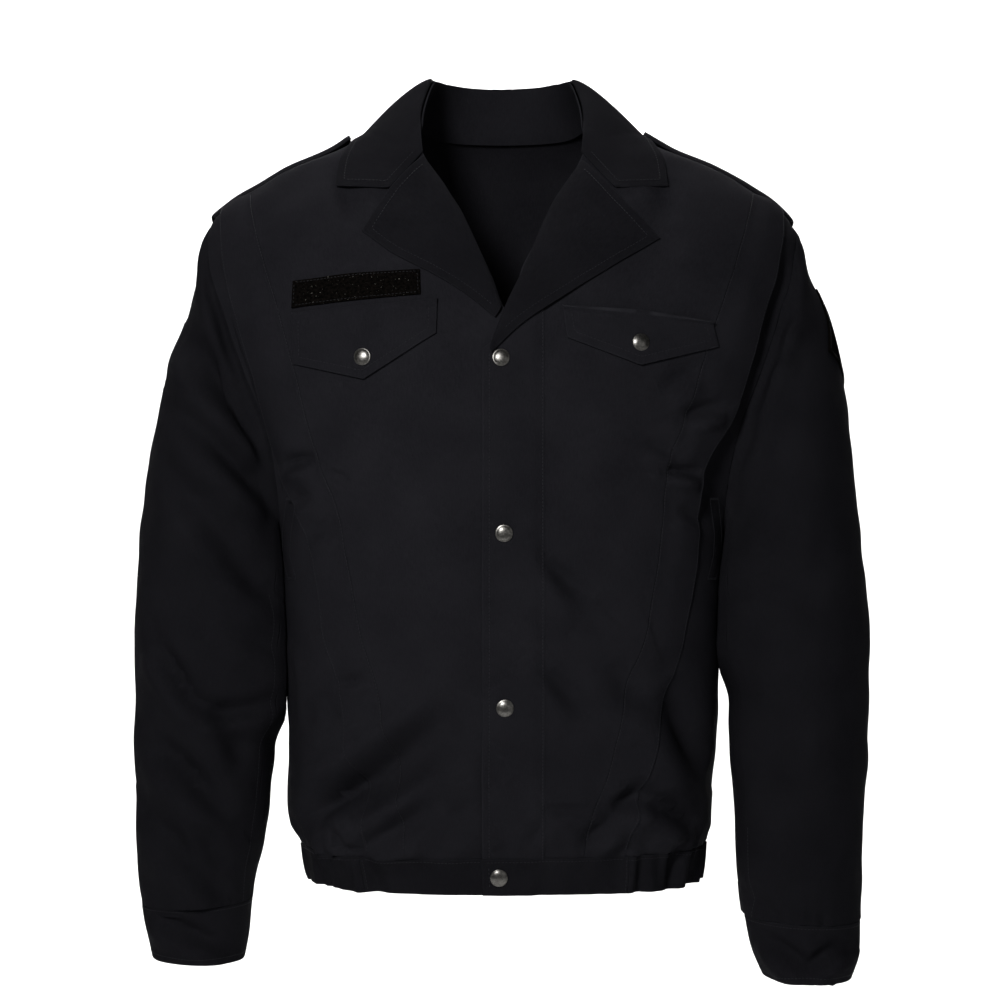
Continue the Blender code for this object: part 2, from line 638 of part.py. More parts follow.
def make_cuff(rows, sign, name, finish):
    at, theta = np.broadcast_arrays(np.linspace(0, 1, 3)[:, None], turns_round())
    grid = ring_point(rows, at, theta) * (sign, 1, 1)
    return shell(name, grid, middle_of(grid), WALL, finish, closed=True)


def make_band(finish):
    """The waistband: two plain tabs that lap at the front, and the gathered sides and back."""
    heights = np.linspace(BAND_TOP - SEAM_GAP, BAND_HEM, 3)

    def place(turns, lift):
        turn, z = np.meshgrid(turns, heights)
        points = form(turn, z)
        return points + away(points)[0] * lift

    right_end, left_end = turn_at(-0.1180, -0.64), turn_at(0.1070, -0.64)
    gap = SEAM_GAP / 0.18
    under = np.linspace(right_end + gap, turn_at(CENTRE_LAP, -0.64), 7)
    grid = place(under, 0)
    shell("band_right", grid, axis_of(grid), WALL, finish)
    over_x = [PLACKET_OUTER, -0.004, 0.010, BAND_LAP_END, 0.034, 0.062, 0.085]
    over = np.append(turn_at(np.array(over_x), -0.64), left_end - gap)
    rise = np.array([1, 1, 1, 1, 0, 0, 0, 0]) * (WALL + LAY_GAP)
    grid = place(over, rise[None, :, None])
    shell("band_left", grid, axis_of(grid), WALL, finish)
    count = 4 * GATHERS
    turns = np.linspace(left_end + gap, right_end + 2 * pi - gap, count + 1)
    wave = np.sin(np.linspace(0, 2 * pi * GATHERS, count + 1)) * GATHER_DEPTH
    grid = place(turns, wave[None, :, None])
    shell("band_back", grid, axis_of(grid), WALL, finish)


def make_placket(finish):
    """The left front's folded edge, which carries the snaps over the right front."""
    x = np.linspace(PLACKET_OUTER, PLACKET_STITCH, 5)[None, :]
    low, high = BAND_TOP + 0.0006, PLACKET_TOP + (x - PLACKET_OUTER) * PLACKET_SLOPE
    z = low + (high - low) * spread(22)[:, None]
    x = x + 0 * z
    lift = LAY_GAP + LAY_WALL + folded(form(turn_at(x, z), z), FRONT_FOLDS)
    points = on_front(x, z, lift)
    return shell("placket", points, axis_of(points), LAY_WALL, finish)


def make_lying(rows, name, low_gap, thickness, columns, steps, finish):
    """A flap or tape that lies on a front, from the table of its top and bottom edges."""
    u = np.linspace(0, 1, columns)
    at = np.linspace(0, 1, len(rows["top_x"]))
    top = np.stack([np.interp(u, at, rows["top_x"]), np.interp(u, at, rows["top_z"])], -1)
    low = np.stack([np.interp(u, at, rows["low_x"]), np.interp(u, at, rows["low_z"])], -1)
    v = np.linspace(0, 1, steps)[:, None, None]
    places = low[None] + (top - low)[None] * v
    points = on_front(places[..., 0], places[..., 1], np.full(places.shape[:2], low_gap + thickness))
    return shell(name, points, axis_of(points), thickness, finish)


def roll_rise(v, height):
    """How a rolled cloth stands off: steep at its fold, gone at its free edge."""
    return height * np.sin(pi * np.clip(v, 0, 1) ** 0.55)


def make_lapel(rows, notch, base, name, finish):
    """A lapel from the roll line to its free edge, over the front that it is part of."""
    roll = lambda t: along(rows, ("roll_x", "roll_z"), t)
    edge = lambda t: along(rows, ("edge_x", "edge_z"), t)
    ends = [(f(np.array([0.0]))[0], f(np.array([1.0]))[0]) for f in (roll, edge)]
    low = broken(ends[0][0], ends[1][0])
    high = broken(ends[0][1], notch, ends[1][1])
    places = patch(low, high, roll, edge, 12, 8)
    v = np.linspace(0, 1, 8)[None, :] + np.zeros((12, 1))
    up = np.linspace(0, 1, 12)[:, None]
    lift = base(up) + LAY_WALL + roll_rise(v, LAPEL_ROLL * (0.4 + 0.6 * up))
    points = on_front(places[..., 0], places[..., 1] - 0.0008, lift)
    return shell(name, points, axis_of(points), LAY_WALL, finish)


def collar_lines(at):
    """The collar's fold line and outer edge, at places from -1, the right end, to 1, the left."""
    side = np.sign(at)[:, None]
    fold = along(COLLAR, ("fold_x", "fold_y", "fold_z"), np.abs(at))
    edge = along(COLLAR, ("edge_x", "edge_y", "edge_z"), np.abs(at))
    flip = np.concatenate([side, np.ones_like(side), np.ones_like(side)], 1)
    return fold * flip, edge * flip


def make_collar(finish):
    """The turned-down leaf, from its fold round the neck to its outer edge on the shoulders."""
    at, v = np.linspace(-1, 1, 29), np.linspace(0, 1, 8)[:, None]
    fold, edge = collar_lines(at)
    points = fold[None] + (edge - fold)[None] * v[..., None]
    out, up = GORGE_NOTCH
    for sign, last in ((-1, 0), (1, -1)):
        notch = on_front(np.array([sign * out]), np.array([up]), np.array([LAY_WALL + LAY_GAP]))[0]
        bend = broken(points[0, last], notch, points[-1, last])(v[:, 0]) - points[:, last]
        near = np.clip(sign * at, 0, 1) ** 8
        points = points + bend[:, None] * near[None, :, None]
    middle = 1 - np.abs(at)[None, :] ** 4
    rise = roll_rise(v, COLLAR_ROLL * (0.25 + 0.75 * middle))
    direction = away(points)[0] * 0.6 + np.array([0, 0, 0.4])
    points = clear(points + direction * rise[..., None], LAY_WALL + LAY_GAP)
    return shell("collar", points, points - away(points)[0], LAY_WALL, finish)


def make_stand(finish):
    """The band that stands up from the neck seam inside the collar."""
    at = np.linspace(-STAND_REACH, STAND_REACH, 25)
    fold, _ = collar_lines(at)
    side = np.clip(np.abs(at) / 0.5, 0, 1)
    front = np.clip(np.abs(at) / 0.5 - 1, 0, 1)
    x = side * BACK_NECK["x"][-1]
    back_z = spline(BACK_NECK["x"], BACK_NECK["z"], x)
    front_z = NECK_SIDE - front * STAND_DROP
    behind = form(pi - turn_at(x, back_z), back_z)
    ahead = form(turn_at(smooth(EDGES, "right", front_z), front_z), front_z)
    foot = np.where(front[:, None] > 0, ahead, behind)
    foot[:, 0] *= np.sign(at)
    foot = foot * (STAND_INSET, STAND_INSET, 1) + (0, 0, 0.001)
    top = fold * (STAND_INSET, STAND_INSET, 1) - (0, 0, STAND_BELOW_FOLD)
    v = np.linspace(0, 1, 3)[:, None, None]
    points = foot[None] + (top - foot)[None] * v
    return shell("collar_stand", points, points * (0, 0, 1), WALL, finish)


def shoulder_height(x, y):
    """The form's height over a place on the shoulder, found by halving."""
    low, high = np.full(x.shape, -0.25), np.full(x.shape, 0.04)
    for _ in range(40):
        mid = (low + high) / 2
        inside = reach(np.stack([x, y, mid], -1)) < 1
        low, high = np.where(inside, mid, low), np.where(inside, high, mid)
    return low


def make_strap(sign, name, finish):
    """A shoulder strap, sewn in at the armhole with its free end by the collar."""
    columns, rows = 14, 6
    x = spline(np.linspace(0, 1, 4), STRAP["x"], np.linspace(0, 1, columns))[None, :]
    front = spline(STRAP["x"], STRAP["front_y"], x)
    back = spline(STRAP["x"], STRAP["back_y"], x)
    y = front + (back - front) * np.linspace(0, 1, rows)[:, None]
    x = x + 0 * y
    points = np.stack([x, y, shoulder_height(x, y)], -1)
    lift = STRAP_GAP + LAY_WALL + STRAP_END_LIFT * np.clip(1 - (x - x[0, 0]) / STRAP_END, 0, 1) ** 2
    points = points + away(points)[0] * lift[..., None]
    points = points * (sign, 1, 1)
    return shell(name, points, points - np.array([0, 0, 0.05]), LAY_WALL, finish)


def make_patch(finish):
    """The hook-and-loop patch on the left upper sleeve, laid on the sleeve's own form."""
    wide, tall = np.meshgrid(np.linspace(-0.5, 0.5, 9) * PATCH_WIDE, np.linspace(-0.5, 0.5, 8) * PATCH_TALL)
    c, s = np.cos(PATCH_LEAN), np.sin(PATCH_LEAN)
    ahead = PATCH_AHEAD + wide * c - tall * s
    height = PATCH_HEIGHT + wide * s + tall * c
    at = np.full(wide.shape, 0.25)
    for _ in range(6):
        outer_x, outer_z, inner_x, inner_z, mid_y, deep = np.moveaxis(along(LEFT_SLEEVE, RING_NAMES, at), -1, 0)
        theta = np.arcsin(ahead / deep)
        level = height + (outer_z - inner_z) / 2 * (1 - np.cos(theta))
        at = np.interp(-level, -LEFT_SLEEVE["outer_z"], np.linspace(0, 1, len(LEFT_SLEEVE["outer_z"])))
    points = sleeve_surface(LEFT_SLEEVE, LEFT_SLEEVE_FOLDS, 1, at, theta, PATCH_GAP + LAY_WALL)
    return shell("sleeve_patch", points, points - (0.05, 0, 0), LAY_WALL, finish)


def make_snap(name, x, z, under, finish):
    """A domed snap cap, seated on the cloth whose outer face is under over the form."""
    profile = [(0.72, 0.0), (1.0, 0.12), (1.0, 0.34), (0.78, 0.74), (0.42, 0.95)]
    base = on_front(np.array([x]), np.array([z]), np.array([under + 0.0006]))[0]
    out = away(base[None])[0][0]
    side = np.cross(out, (0, 0, 1))
    side /= np.linalg.norm(side)
    up = np.cross(side, out)
    vertices, faces = [base], []
    for radius, height in profile:
        for k in range(SNAP_SIDES):
            a = 2 * pi * k / SNAP_SIDES
            arm = side * np.cos(a) + up * np.sin(a)
            vertices.append(base + arm * radius * SNAP_RADIUS + out * height * SNAP_HEIGHT)
    vertices.append(base + out * SNAP_HEIGHT)
    last = len(vertices) - 1
    for k in range(SNAP_SIDES):
        n = (k + 1) % SNAP_SIDES
        faces.append((0, 1 + n, 1 + k))
        for r in range(len(profile) - 1):
            a, b = 1 + r * SNAP_SIDES, 1 + (r + 1) * SNAP_SIDES
            faces.append((a + k, a + n, b + n, b + k))
        a = 1 + (len(profile) - 1) * SNAP_SIDES
        faces.append((a + k, a + n, last))
    return solid(name, vertices, faces, finish)


def build():
    for old in list(bpy.data.objects):
        bpy.data.objects.remove(old)
    twill = material("twill", CLOTH_COLOUR, 0.85)
    tape = material("hook_and_loop", TAPE_COLOUR, 0.95)
    metal = material("gunmetal", SNAP_COLOUR, 0.35, 1.0)

    make_front("right", "front_right", twill)
    make_front("left", "front_left", twill)
    make_side("right", "side_right", twill)
    make_side("left", "side_left", twill)
    make_back(twill)
    make_sleeve(RIGHT_SLEEVE, RIGHT_SLEEVE_FOLDS, -1, "sleeve_right", twill)
    make_sleeve(LEFT_SLEEVE, LEFT_SLEEVE_FOLDS, 1, "sleeve_left", twill)
    make_cuff(RIGHT_CUFF, -1, "cuff_right", twill)
    make_cuff(LEFT_CUFF, 1, "cuff_left", twill)
    make_band(twill)
    make_placket(twill)
    make_lapel(RIGHT_LAPEL, RIGHT_NOTCH, lambda up: LAY_GAP + 0 * up, "lapel_right", twill)
    over_placket = LAY_WALL + LAY_GAP + 0.0004
    make_lapel(LEFT_LAPEL, LEFT_NOTCH,
               lambda up: LAY_GAP + over_placket * np.clip(2.2 - 3.4 * up, 0, 1), "lapel_left", twill)
    make_collar(twill)
    make_stand(twill)
    make_strap(-1, "strap_right", twill)
    make_strap(1, "strap_left", twill)
    make_lying(RIGHT_FLAP, "flap_right", LAY_GAP, LAY_WALL, 9, 4, twill)
    make_lying(LEFT_FLAP, "flap_left", LAY_GAP, LAY_WALL, 9, 4, twill)
    make_lying(NAME_TAPE, "name_tape", LAY_GAP, LAY_WALL, 9, 2, tape)
    make_patch(tape)
    on_placket = LAY_GAP + LAY_WALL
    on_band = WALL + LAY_GAP
    for k, (x, z) in enumerate(zip(FRONT_SNAPS["x"], FRONT_SNAPS["z"])):
        make_snap(f"snap_front_{k + 1}", x, z, on_band if k == 3 else on_placket, metal)
    for side, x, z in zip(("right", "left"), FLAP_SNAPS["x"], FLAP_SNAPS["z"]):
        make_snap(f"snap_flap_{side}", x, z, on_placket, metal)


build()
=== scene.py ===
"""Looks for the police blouson jacket: cloth, creases, sewing, snaps, light and camera.

The form is the one that the solids are cut from: a place on the torso is an angle and a height,
and a place on a sleeve is a fraction of its length and an angle. Each panel is a fine grid on that
form, raised by given creases and by faint unevenness, then given its thickness.
"""

from math import pi, radians

import bpy
import numpy as np
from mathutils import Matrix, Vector, kdtree


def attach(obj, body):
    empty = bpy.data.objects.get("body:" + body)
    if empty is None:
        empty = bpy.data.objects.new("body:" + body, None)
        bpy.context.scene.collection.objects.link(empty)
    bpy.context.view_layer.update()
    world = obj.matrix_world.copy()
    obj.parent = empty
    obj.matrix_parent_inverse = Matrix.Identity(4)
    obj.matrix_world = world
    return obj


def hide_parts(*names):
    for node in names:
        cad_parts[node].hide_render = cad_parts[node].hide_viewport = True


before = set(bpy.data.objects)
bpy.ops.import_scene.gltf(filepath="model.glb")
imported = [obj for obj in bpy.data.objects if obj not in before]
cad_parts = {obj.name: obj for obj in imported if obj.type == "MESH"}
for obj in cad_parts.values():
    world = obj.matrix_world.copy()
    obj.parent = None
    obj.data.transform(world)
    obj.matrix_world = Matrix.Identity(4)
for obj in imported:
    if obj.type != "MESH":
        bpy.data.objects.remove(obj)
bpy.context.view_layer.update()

# Driving sizes
WALL = 0.0016  # one layer of the twill with its facing
LAY_WALL = 0.0018  # flaps, lapels, straps: two layers sewn together
SEAM_GAP = 0.0004
LAY_GAP = 0.0008  # between a panel and what lies on it
SLEEVE_GAP = 0.0012  # between the torso and a sleeve that hangs against it
SLEEVE_INSET = 0.0008  # of a sleeve's first ring inside the armhole's edge
SQUARENESS = 2.4  # of the torso's cross-sections: 2 is an ellipse, more is squarer
BAND_TOP = -0.6200
BAND_HEM = -0.6530
NECK_SIDE = 0.0260
PLEAT_RISE = 0.0027  # how far a front's folded edge stands over the side panel
PLEAT_UNDER = 0.0150  # how far the side panel runs in under that edge
ARMHOLE_TOP = -0.0660
ARMHOLE_FOOT = -0.3500
ARMHOLE_REACH = radians(20)
CENTRE_LAP = 0.0120  # the right front runs this far past the centre under the left one
PLACKET_OUTER = -0.0170
PLACKET_STITCH = 0.0360
PLACKET_TOP = -0.1860  # at its outer edge; it slopes up under the lapel
PLACKET_SLOPE = 0.72
BAND_LAP_END = 0.0220
GATHERS = 34  # waves of the elasticated waistband
GATHER_DEPTH = 0.0016
SNAP_RADIUS = 0.0075
SNAP_HEIGHT = 0.0024
SNAP_SIDES = 14



def table(names, *rows):
    """Named columns from rows of numbers, lowest first."""
    return dict(zip(names.split(), np.array(rows, float).T))


# Cross-sections of the torso, from the waist seam to the neck. Above the armholes they shrink
# to the shoulder ridge, where half_width is how far out the shoulder seam is at that height.
BODY = table(
    "z half_width front back centre_x",
    (-0.6530, 0.1765, 0.1150, 0.1150, 0.0030),
    (-0.6195, 0.1815, 0.1190, 0.1180, 0.0015),
    (-0.6030, 0.1885, 0.1250, 0.1225, -0.0010),
    (-0.5850, 0.1905, 0.1275, 0.1235, -0.0020),
    (-0.5500, 0.1915, 0.1275, 0.1225, -0.0010),
    (-0.5000, 0.1930, 0.1270, 0.1210, 0.0010),
    (-0.4500, 0.1950, 0.1275, 0.1190, 0.0000),
    (-0.4000, 0.1960, 0.1285, 0.1190, 0.0000),
    (-0.3600, 0.1980, 0.1295, 0.1210, 0.0000),
    (-0.3300, 0.2015, 0.1300, 0.1230, 0.0000),
    (-0.3000, 0.2070, 0.1305, 0.1255, 0.0000),
    (-0.2500, 0.2215, 0.1300, 0.1290, 0.0000),
    (-0.2000, 0.2430, 0.1265, 0.1310, 0.0000),
    (-0.1500, 0.2595, 0.1190, 0.1300, 0.0000),
    (-0.1100, 0.2685, 0.1080, 0.1260, 0.0000),
    (-0.0850, 0.2670, 0.0985, 0.1210, 0.0000),
    (-0.0660, 0.2595, 0.0905, 0.1150, 0.0000),
    (-0.0500, 0.2440, 0.0830, 0.1080, 0.0000),
    (-0.0360, 0.2215, 0.0760, 0.1010, 0.0000),
    (-0.0180, 0.1880, 0.0660, 0.0920, 0.0000),
    (-0.0030, 0.1500, 0.0590, 0.0830, 0.0000),
    (0.0100, 0.1240, 0.0520, 0.0730, 0.0000),
    (0.0200, 0.0990, 0.0450, 0.0620, 0.0000),
    (0.0280, 0.0750, 0.0370, 0.0520, 0.0000),
    (0.0420, 0.0350, 0.0200, 0.0250, 0.0000),
    (0.0600, 0.0050, 0.0050, 0.0050, 0.0000),
)

# How far out from the centre line the fronts' seams lie, as seen from the front: the stitch line
# that holds each pleat and the pleat's folded edge, for the wearer's right and left.
PLEATS = table(
    "z right_stitch right_fold left_stitch left_fold",
    (-0.6200, 0.0800, 0.1170, 0.0705, 0.1050),
    (-0.5850, 0.0855, 0.1170, 0.0775, 0.1140),
    (-0.5500, 0.0920, 0.1290, 0.0910, 0.1245),
    (-0.5150, 0.1005, 0.1365, 0.0990, 0.1320),
    (-0.4750, 0.1085, 0.1410, 0.1085, 0.1470),
    (-0.4300, 0.1230, 0.1560, 0.1240, 0.1580),
    (-0.3700, 0.1340, 0.1625, 0.1345, 0.1680),
    (-0.3250, 0.1425, 0.1790, 0.1390, 0.1700),
    (-0.2900, 0.1560, 0.1940, 0.1430, 0.1745),
    (-0.2460, 0.1700, 0.2080, 0.1575, 0.1975),
    (-0.2050, 0.1795, 0.2180, 0.1720, 0.2140),
    (-0.1600, 0.1920, 0.2315, 0.1860, 0.2265),
    (-0.1100, 0.2085, 0.2445, 0.2040, 0.2430),
    (-0.0555, 0.2225, 0.2500, 0.2205, 0.2500),
    (-0.0385, 0.2255, 0.2255, 0.2255, 0.2255),
)
STITCH_TOP = -0.0385  # where the stitch line meets the shoulder seam
FOLD_TOP = -0.0552
SIDE_TOP = -0.0432  # where the side panel's hidden edge meets the shoulder seam

# The fronts' inner edges: under the placket, up the roll line, then round the neck.
EDGES = table(
    "z right left",
    (-0.6200, -CENTRE_LAP, 0.0125),
    (-0.1660, -CENTRE_LAP, 0.0125),
    (-0.1500, -0.0010, 0.0125),
    (-0.1250, 0.0080, 0.0145),
    (-0.0920, 0.0225, 0.0290),
    (-0.0600, 0.0375, 0.0425),
    (-0.0320, 0.0560, 0.0610),
    (-0.0130, 0.0680, 0.0700),
    (0.0050, 0.0760, 0.0770),
    (0.0260, 0.0815, 0.0815),
)

# The back's neck edge, from the centre to the shoulder seam.
BACK_NECK = table(
    "x z",
    (0.0000, 0.0170),
    (0.0300, 0.0175),
    (0.0600, 0.0195),
    (0.0815, 0.0260),
)

BACK_BLADE = 0.1100  # how far out, at the waist, the line runs that ends at the neck's side

# Soft folds on the fronts and the back as seen from the front: a ridge from one place to another.
FRONT_FOLDS = table(
    "x0 z0 x1 z1 width height",
    (-0.160, -0.592, -0.128, -0.556, 0.010, 0.0030),
    (-0.097, -0.552, -0.048, -0.500, 0.011, 0.0030),
    (-0.070, -0.606, -0.038, -0.584, 0.009, 0.0025),
    (0.100, -0.585, 0.143, -0.596, 0.009, 0.0028),
    (0.133, -0.512, 0.171, -0.550, 0.011, 0.0030),
    (0.041, -0.470, 0.074, -0.500, 0.012, 0.0022),
)
BACK_FOLDS = table(
    "x0 z0 x1 z1 width height",
    (-0.130, -0.585, -0.060, -0.545, 0.013, 0.0035),
    (0.140, -0.580, 0.050, -0.560, 0.013, 0.0035),
    (-0.020, -0.590, 0.040, -0.600, 0.012, 0.0030),
    (-0.120, -0.470, -0.030, -0.440, 0.018, 0.0030),
    (0.130, -0.450, 0.040, -0.415, 0.018, 0.0030),
    (-0.165, -0.330, -0.120, -0.240, 0.016, 0.0030),
    (0.165, -0.330, 0.120, -0.240, 0.016, 0.0030),
)

# A ring of a sleeve runs from its outer end to its inner end, as seen from the front, and bulges
# half_depth forwards and back of mid_y. The first ring is sewn into the armhole.
RIGHT_SLEEVE = table(
    "outer_x outer_z inner_x inner_z mid_y half_depth",
    (0.2595, -0.0660, 0.1990, -0.3500, 0.0020, 0.0600),
    (0.2695, -0.0860, 0.2010, -0.3560, 0.0020, 0.0680),
    (0.2735, -0.1150, 0.2005, -0.3640, 0.0020, 0.0730),
    (0.2830, -0.1550, 0.2000, -0.3740, 0.0010, 0.0760),
    (0.2985, -0.1930, 0.1995, -0.3860, -0.0010, 0.0780),
    (0.3095, -0.2450, 0.1990, -0.4020, -0.0030, 0.0780),
    (0.3200, -0.3050, 0.1990, -0.4220, -0.0050, 0.0765),
    (0.3250, -0.3650, 0.1990, -0.4470, -0.0080, 0.0745),
    (0.3285, -0.4200, 0.1985, -0.4750, -0.0120, 0.0720),
    (0.3285, -0.4700, 0.1985, -0.5030, -0.0160, 0.0700),
    (0.3275, -0.5200, 0.2020, -0.5350, -0.0200, 0.0680),
    (0.3250, -0.5700, 0.2065, -0.5750, -0.0250, 0.0650),
    (0.3230, -0.6200, 0.2115, -0.6170, -0.0290, 0.0610),
    (0.3215, -0.6500, 0.2170, -0.6460, -0.0320, 0.0580),
    (0.3175, -0.6705, 0.2205, -0.6660, -0.0350, 0.0540),
)
LEFT_SLEEVE = table(
    "outer_x outer_z inner_x inner_z mid_y half_depth",
    (0.2595, -0.0660, 0.1990, -0.3500, 0.0020, 0.0600),
    (0.2695, -0.0860, 0.2010, -0.3560, 0.0020, 0.0680),
    (0.2755, -0.1120, 0.2005, -0.3640, 0.0010, 0.0730),
    (0.2925, -0.1520, 0.2000, -0.3740, -0.0010, 0.0760),
    (0.3050, -0.2060, 0.1995, -0.3860, -0.0040, 0.0780),
    (0.3130, -0.2700, 0.1990, -0.4020, -0.0070, 0.0780),
    (0.3185, -0.3350, 0.1990, -0.4220, -0.0110, 0.0765),
    (0.3220, -0.3850, 0.1990, -0.4470, -0.0170, 0.0745),
    (0.3250, -0.4300, 0.2000, -0.4750, -0.0250, 0.0720),
    (0.3240, -0.4800, 0.2005, -0.5030, -0.0340, 0.0700),
    (0.3215, -0.5300, 0.2015, -0.5400, -0.0440, 0.0680),
    (0.3180, -0.5850, 0.2035, -0.5850, -0.0540, 0.0650),
    (0.3150, -0.6300, 0.2055, -0.6260, -0.0620, 0.0610),
    (0.3130, -0.6600, 0.2080, -0.6550, -0.0670, 0.0580),
    (0.3125, -0.6780, 0.2100, -0.6740, -0.0710, 0.0550),
)
RIGHT_CUFF = table(
    "outer_x outer_z inner_x inner_z mid_y half_depth",
    (0.3170, -0.6711, 0.2210, -0.6666, -0.0355, 0.0530),
    (0.3140, -0.6950, 0.2235, -0.6930, -0.0370, 0.0500),
    (0.3090, -0.7170, 0.2275, -0.7190, -0.0390, 0.0475),
)
LEFT_CUFF = table(
    "outer_x outer_z inner_x inner_z mid_y half_depth",
    (0.3120, -0.6790, 0.2105, -0.6750, -0.0715, 0.0540),
    (0.3105, -0.7040, 0.2160, -0.7020, -0.0745, 0.0510),
    (0.3030, -0.7280, 0.2270, -0.7270, -0.0780, 0.0470),
)
# Sleeve creases as seen from the front, and their like on the back of the arm.
RIGHT_SLEEVE_FOLDS = table(
    "x0 z0 x1 z1 width height",
    (-0.262, -0.195, -0.212, -0.270, 0.013, 0.0040),
    (-0.272, -0.250, -0.208, -0.315, 0.013, 0.0038),
    (-0.281, -0.320, -0.236, -0.385, 0.013, 0.0035),
    (-0.292, -0.455, -0.240, -0.530, 0.015, 0.0045),
    (-0.303, -0.535, -0.246, -0.605, 0.014, 0.0040),
)
LEFT_SLEEVE_FOLDS = table(
    "x0 z0 x1 z1 width height",
    (0.238, -0.165, 0.262, -0.150, 0.012, 0.0025),
    (0.256, -0.490, 0.222, -0.580, 0.018, 0.0035),
    (0.290, -0.350, 0.225, -0.420, 0.018, 0.0030),
    (0.300, -0.610, 0.235, -0.640, 0.013, 0.0035),
)

# The collar's fold round the neck and its outer edge, from the centre back to the front end.
COLLAR = table(
    "fold_x fold_y fold_z edge_x edge_y edge_z",
    (0.0000, 0.0560, 0.0620, 0.0000, 0.0900, -0.0140),
    (0.0300, 0.0500, 0.0630, 0.0560, 0.0840, -0.0110),
    (0.0520, 0.0290, 0.0640, 0.1010, 0.0540, -0.0010),
    (0.0610, 0.0030, 0.0625, 0.1260, 0.0060, 0.0110),
    (0.0680, -0.0170, 0.0450, 0.1350, -0.0280, -0.0050),
    (0.0715, -0.0380, 0.0210, 0.1410, -0.0470, -0.0260),
    (0.0690, -0.0580, -0.0120, 0.1440, -0.0640, -0.0440),
)
GORGE_NOTCH = (0.0975, -0.0455)  # out from the centre and up: where the lapel leaves the collar
COLLAR_ROLL = 0.0090
STAND_REACH = 0.86  # of the collar's half length
STAND_DROP = 0.0300  # from the shoulder seam down to the stand's front ends
STAND_INSET = 0.975
STAND_BELOW_FOLD = 0.0045
LAPEL_ROLL = 0.0050

# Lapels as seen from the front, from the bottom up: the roll line and the free outer edge.
RIGHT_LAPEL = table(
    "roll_x roll_z edge_x edge_z",
    (0.0000, -0.1500, -0.0060, -0.1590),
    (-0.0130, -0.1140, -0.0300, -0.1395),
    (-0.0290, -0.0785, -0.0600, -0.1205),
    (-0.0480, -0.0430, -0.0935, -0.1030),
    (-0.0680, -0.0140, -0.1210, -0.0830),
)
LEFT_LAPEL = table(
    "roll_x roll_z edge_x edge_z",
    (-0.0105, -0.1840, -0.0090, -0.1890),
    (0.0015, -0.1520, 0.0165, -0.1655),
    (0.0190, -0.1150, 0.0560, -0.1390),
    (0.0420, -0.0605, 0.1000, -0.1105),
    (0.0692, -0.0180, 0.1365, -0.0885),
)
RIGHT_NOTCH = (-0.0960, -0.0440)
LEFT_NOTCH = (0.1015, -0.0540)

# Chest flaps as seen from the front: the two ends of the top edge, then down to the point.
RIGHT_FLAP = table(
    "top_x top_z low_x low_z",
    (-0.1805, -0.1535, -0.1790, -0.1980),
    (-0.1180, -0.1480, -0.1180, -0.2120),
    (-0.0550, -0.1430, -0.0560, -0.1730),
)
LEFT_FLAP = table(
    "top_x top_z low_x low_z",
    (0.0510, -0.1490, 0.0550, -0.1770),
    (0.1160, -0.1520, 0.1180, -0.2000),
    (0.1800, -0.1610, 0.1865, -0.1830),
)
NAME_TAPE = table(
    "top_x top_z low_x low_z",
    (-0.1805, -0.1260, -0.1805, -0.1500),
    (-0.1240, -0.1205, -0.1240, -0.1440),
    (-0.0705, -0.1175, -0.0695, -0.1395),
)
FRONT_SNAPS = table(
    "x z",
    (-0.0010, -0.1940),
    (0.0016, -0.3430),
    (0.0024, -0.4915),
    (-0.0027, -0.6370),
)
FLAP_SNAPS = table("x z", (-0.1185, -0.1930), (0.1180, -0.1805))

# A shoulder strap from above: its front and back edges, from the collar to the armhole seam.
STRAP = table(
    "x front_y back_y",
    (0.1330, 0.0080, 0.0300),
    (0.1380, 0.0030, 0.0350),
    (0.1950, 0.0025, 0.0380),
    (0.2530, 0.0030, 0.0350),
)
STRAP_GAP = 0.0012
STRAP_END = 0.0450  # how much of the strap rises at its free end
STRAP_END_LIFT = 0.0040

# The hook-and-loop patch on the left upper sleeve. It leans forwards, as the sleeve's twist has it.
PATCH_WIDE = 0.0650
PATCH_TALL = 0.0670
PATCH_LEAN = radians(30)
PATCH_GAP = 0.0010
PATCH_AHEAD = -0.0080  # of the sleeve's outermost line
PATCH_HEIGHT = -0.1730

SLEEVE_RINGS = 24
SLEEVE_SIDES = 24
SEWN_FADE = 0.28  # of a sleeve's length over which it leaves the armhole's shape
PLEAT_STEPS = (0.22, 0.45, 0.72, 1.0)  # columns of the front between the stitch line and the fold
PLEAT_LIFTS = (0.45, 1, 1, 1)
RING_NAMES = "outer_x outer_z inner_x inner_z mid_y half_depth".split()


def smooth(rows, column, at):
    """A column's value between its rows, with no overshoot and no corner."""
    x = rows["z"] if "z" in rows and column != "z" else np.linspace(0, 1, len(rows[column]))
    return spline(x, rows[column], at)


def spline(x, y, at):
    """Monotone cubic through (x, y), read at any array of places."""
    at = np.clip(np.asarray(at, float), x[0], x[-1])
    step = np.diff(x)
    slope = np.diff(y) / step
    tangent = np.zeros_like(y)
    same = slope[1:] * slope[:-1] > 0
    inner = np.where(same, 2 * slope[1:] * slope[:-1] / np.where(same, slope[1:] + slope[:-1], 1), 0)
    tangent[1:-1], tangent[0], tangent[-1] = inner, slope[0], slope[-1]
    i = np.clip(np.searchsorted(x, at, side="right") - 1, 0, len(step) - 1)
    f = (at - x[i]) / step[i]
    return (
        y[i] * (1 + 2 * f) * (1 - f) ** 2
        + y[i + 1] * f * f * (3 - 2 * f)
        + step[i] * (tangent[i] * f * (1 - f) ** 2 + tangent[i + 1] * f * f * (f - 1))
    )


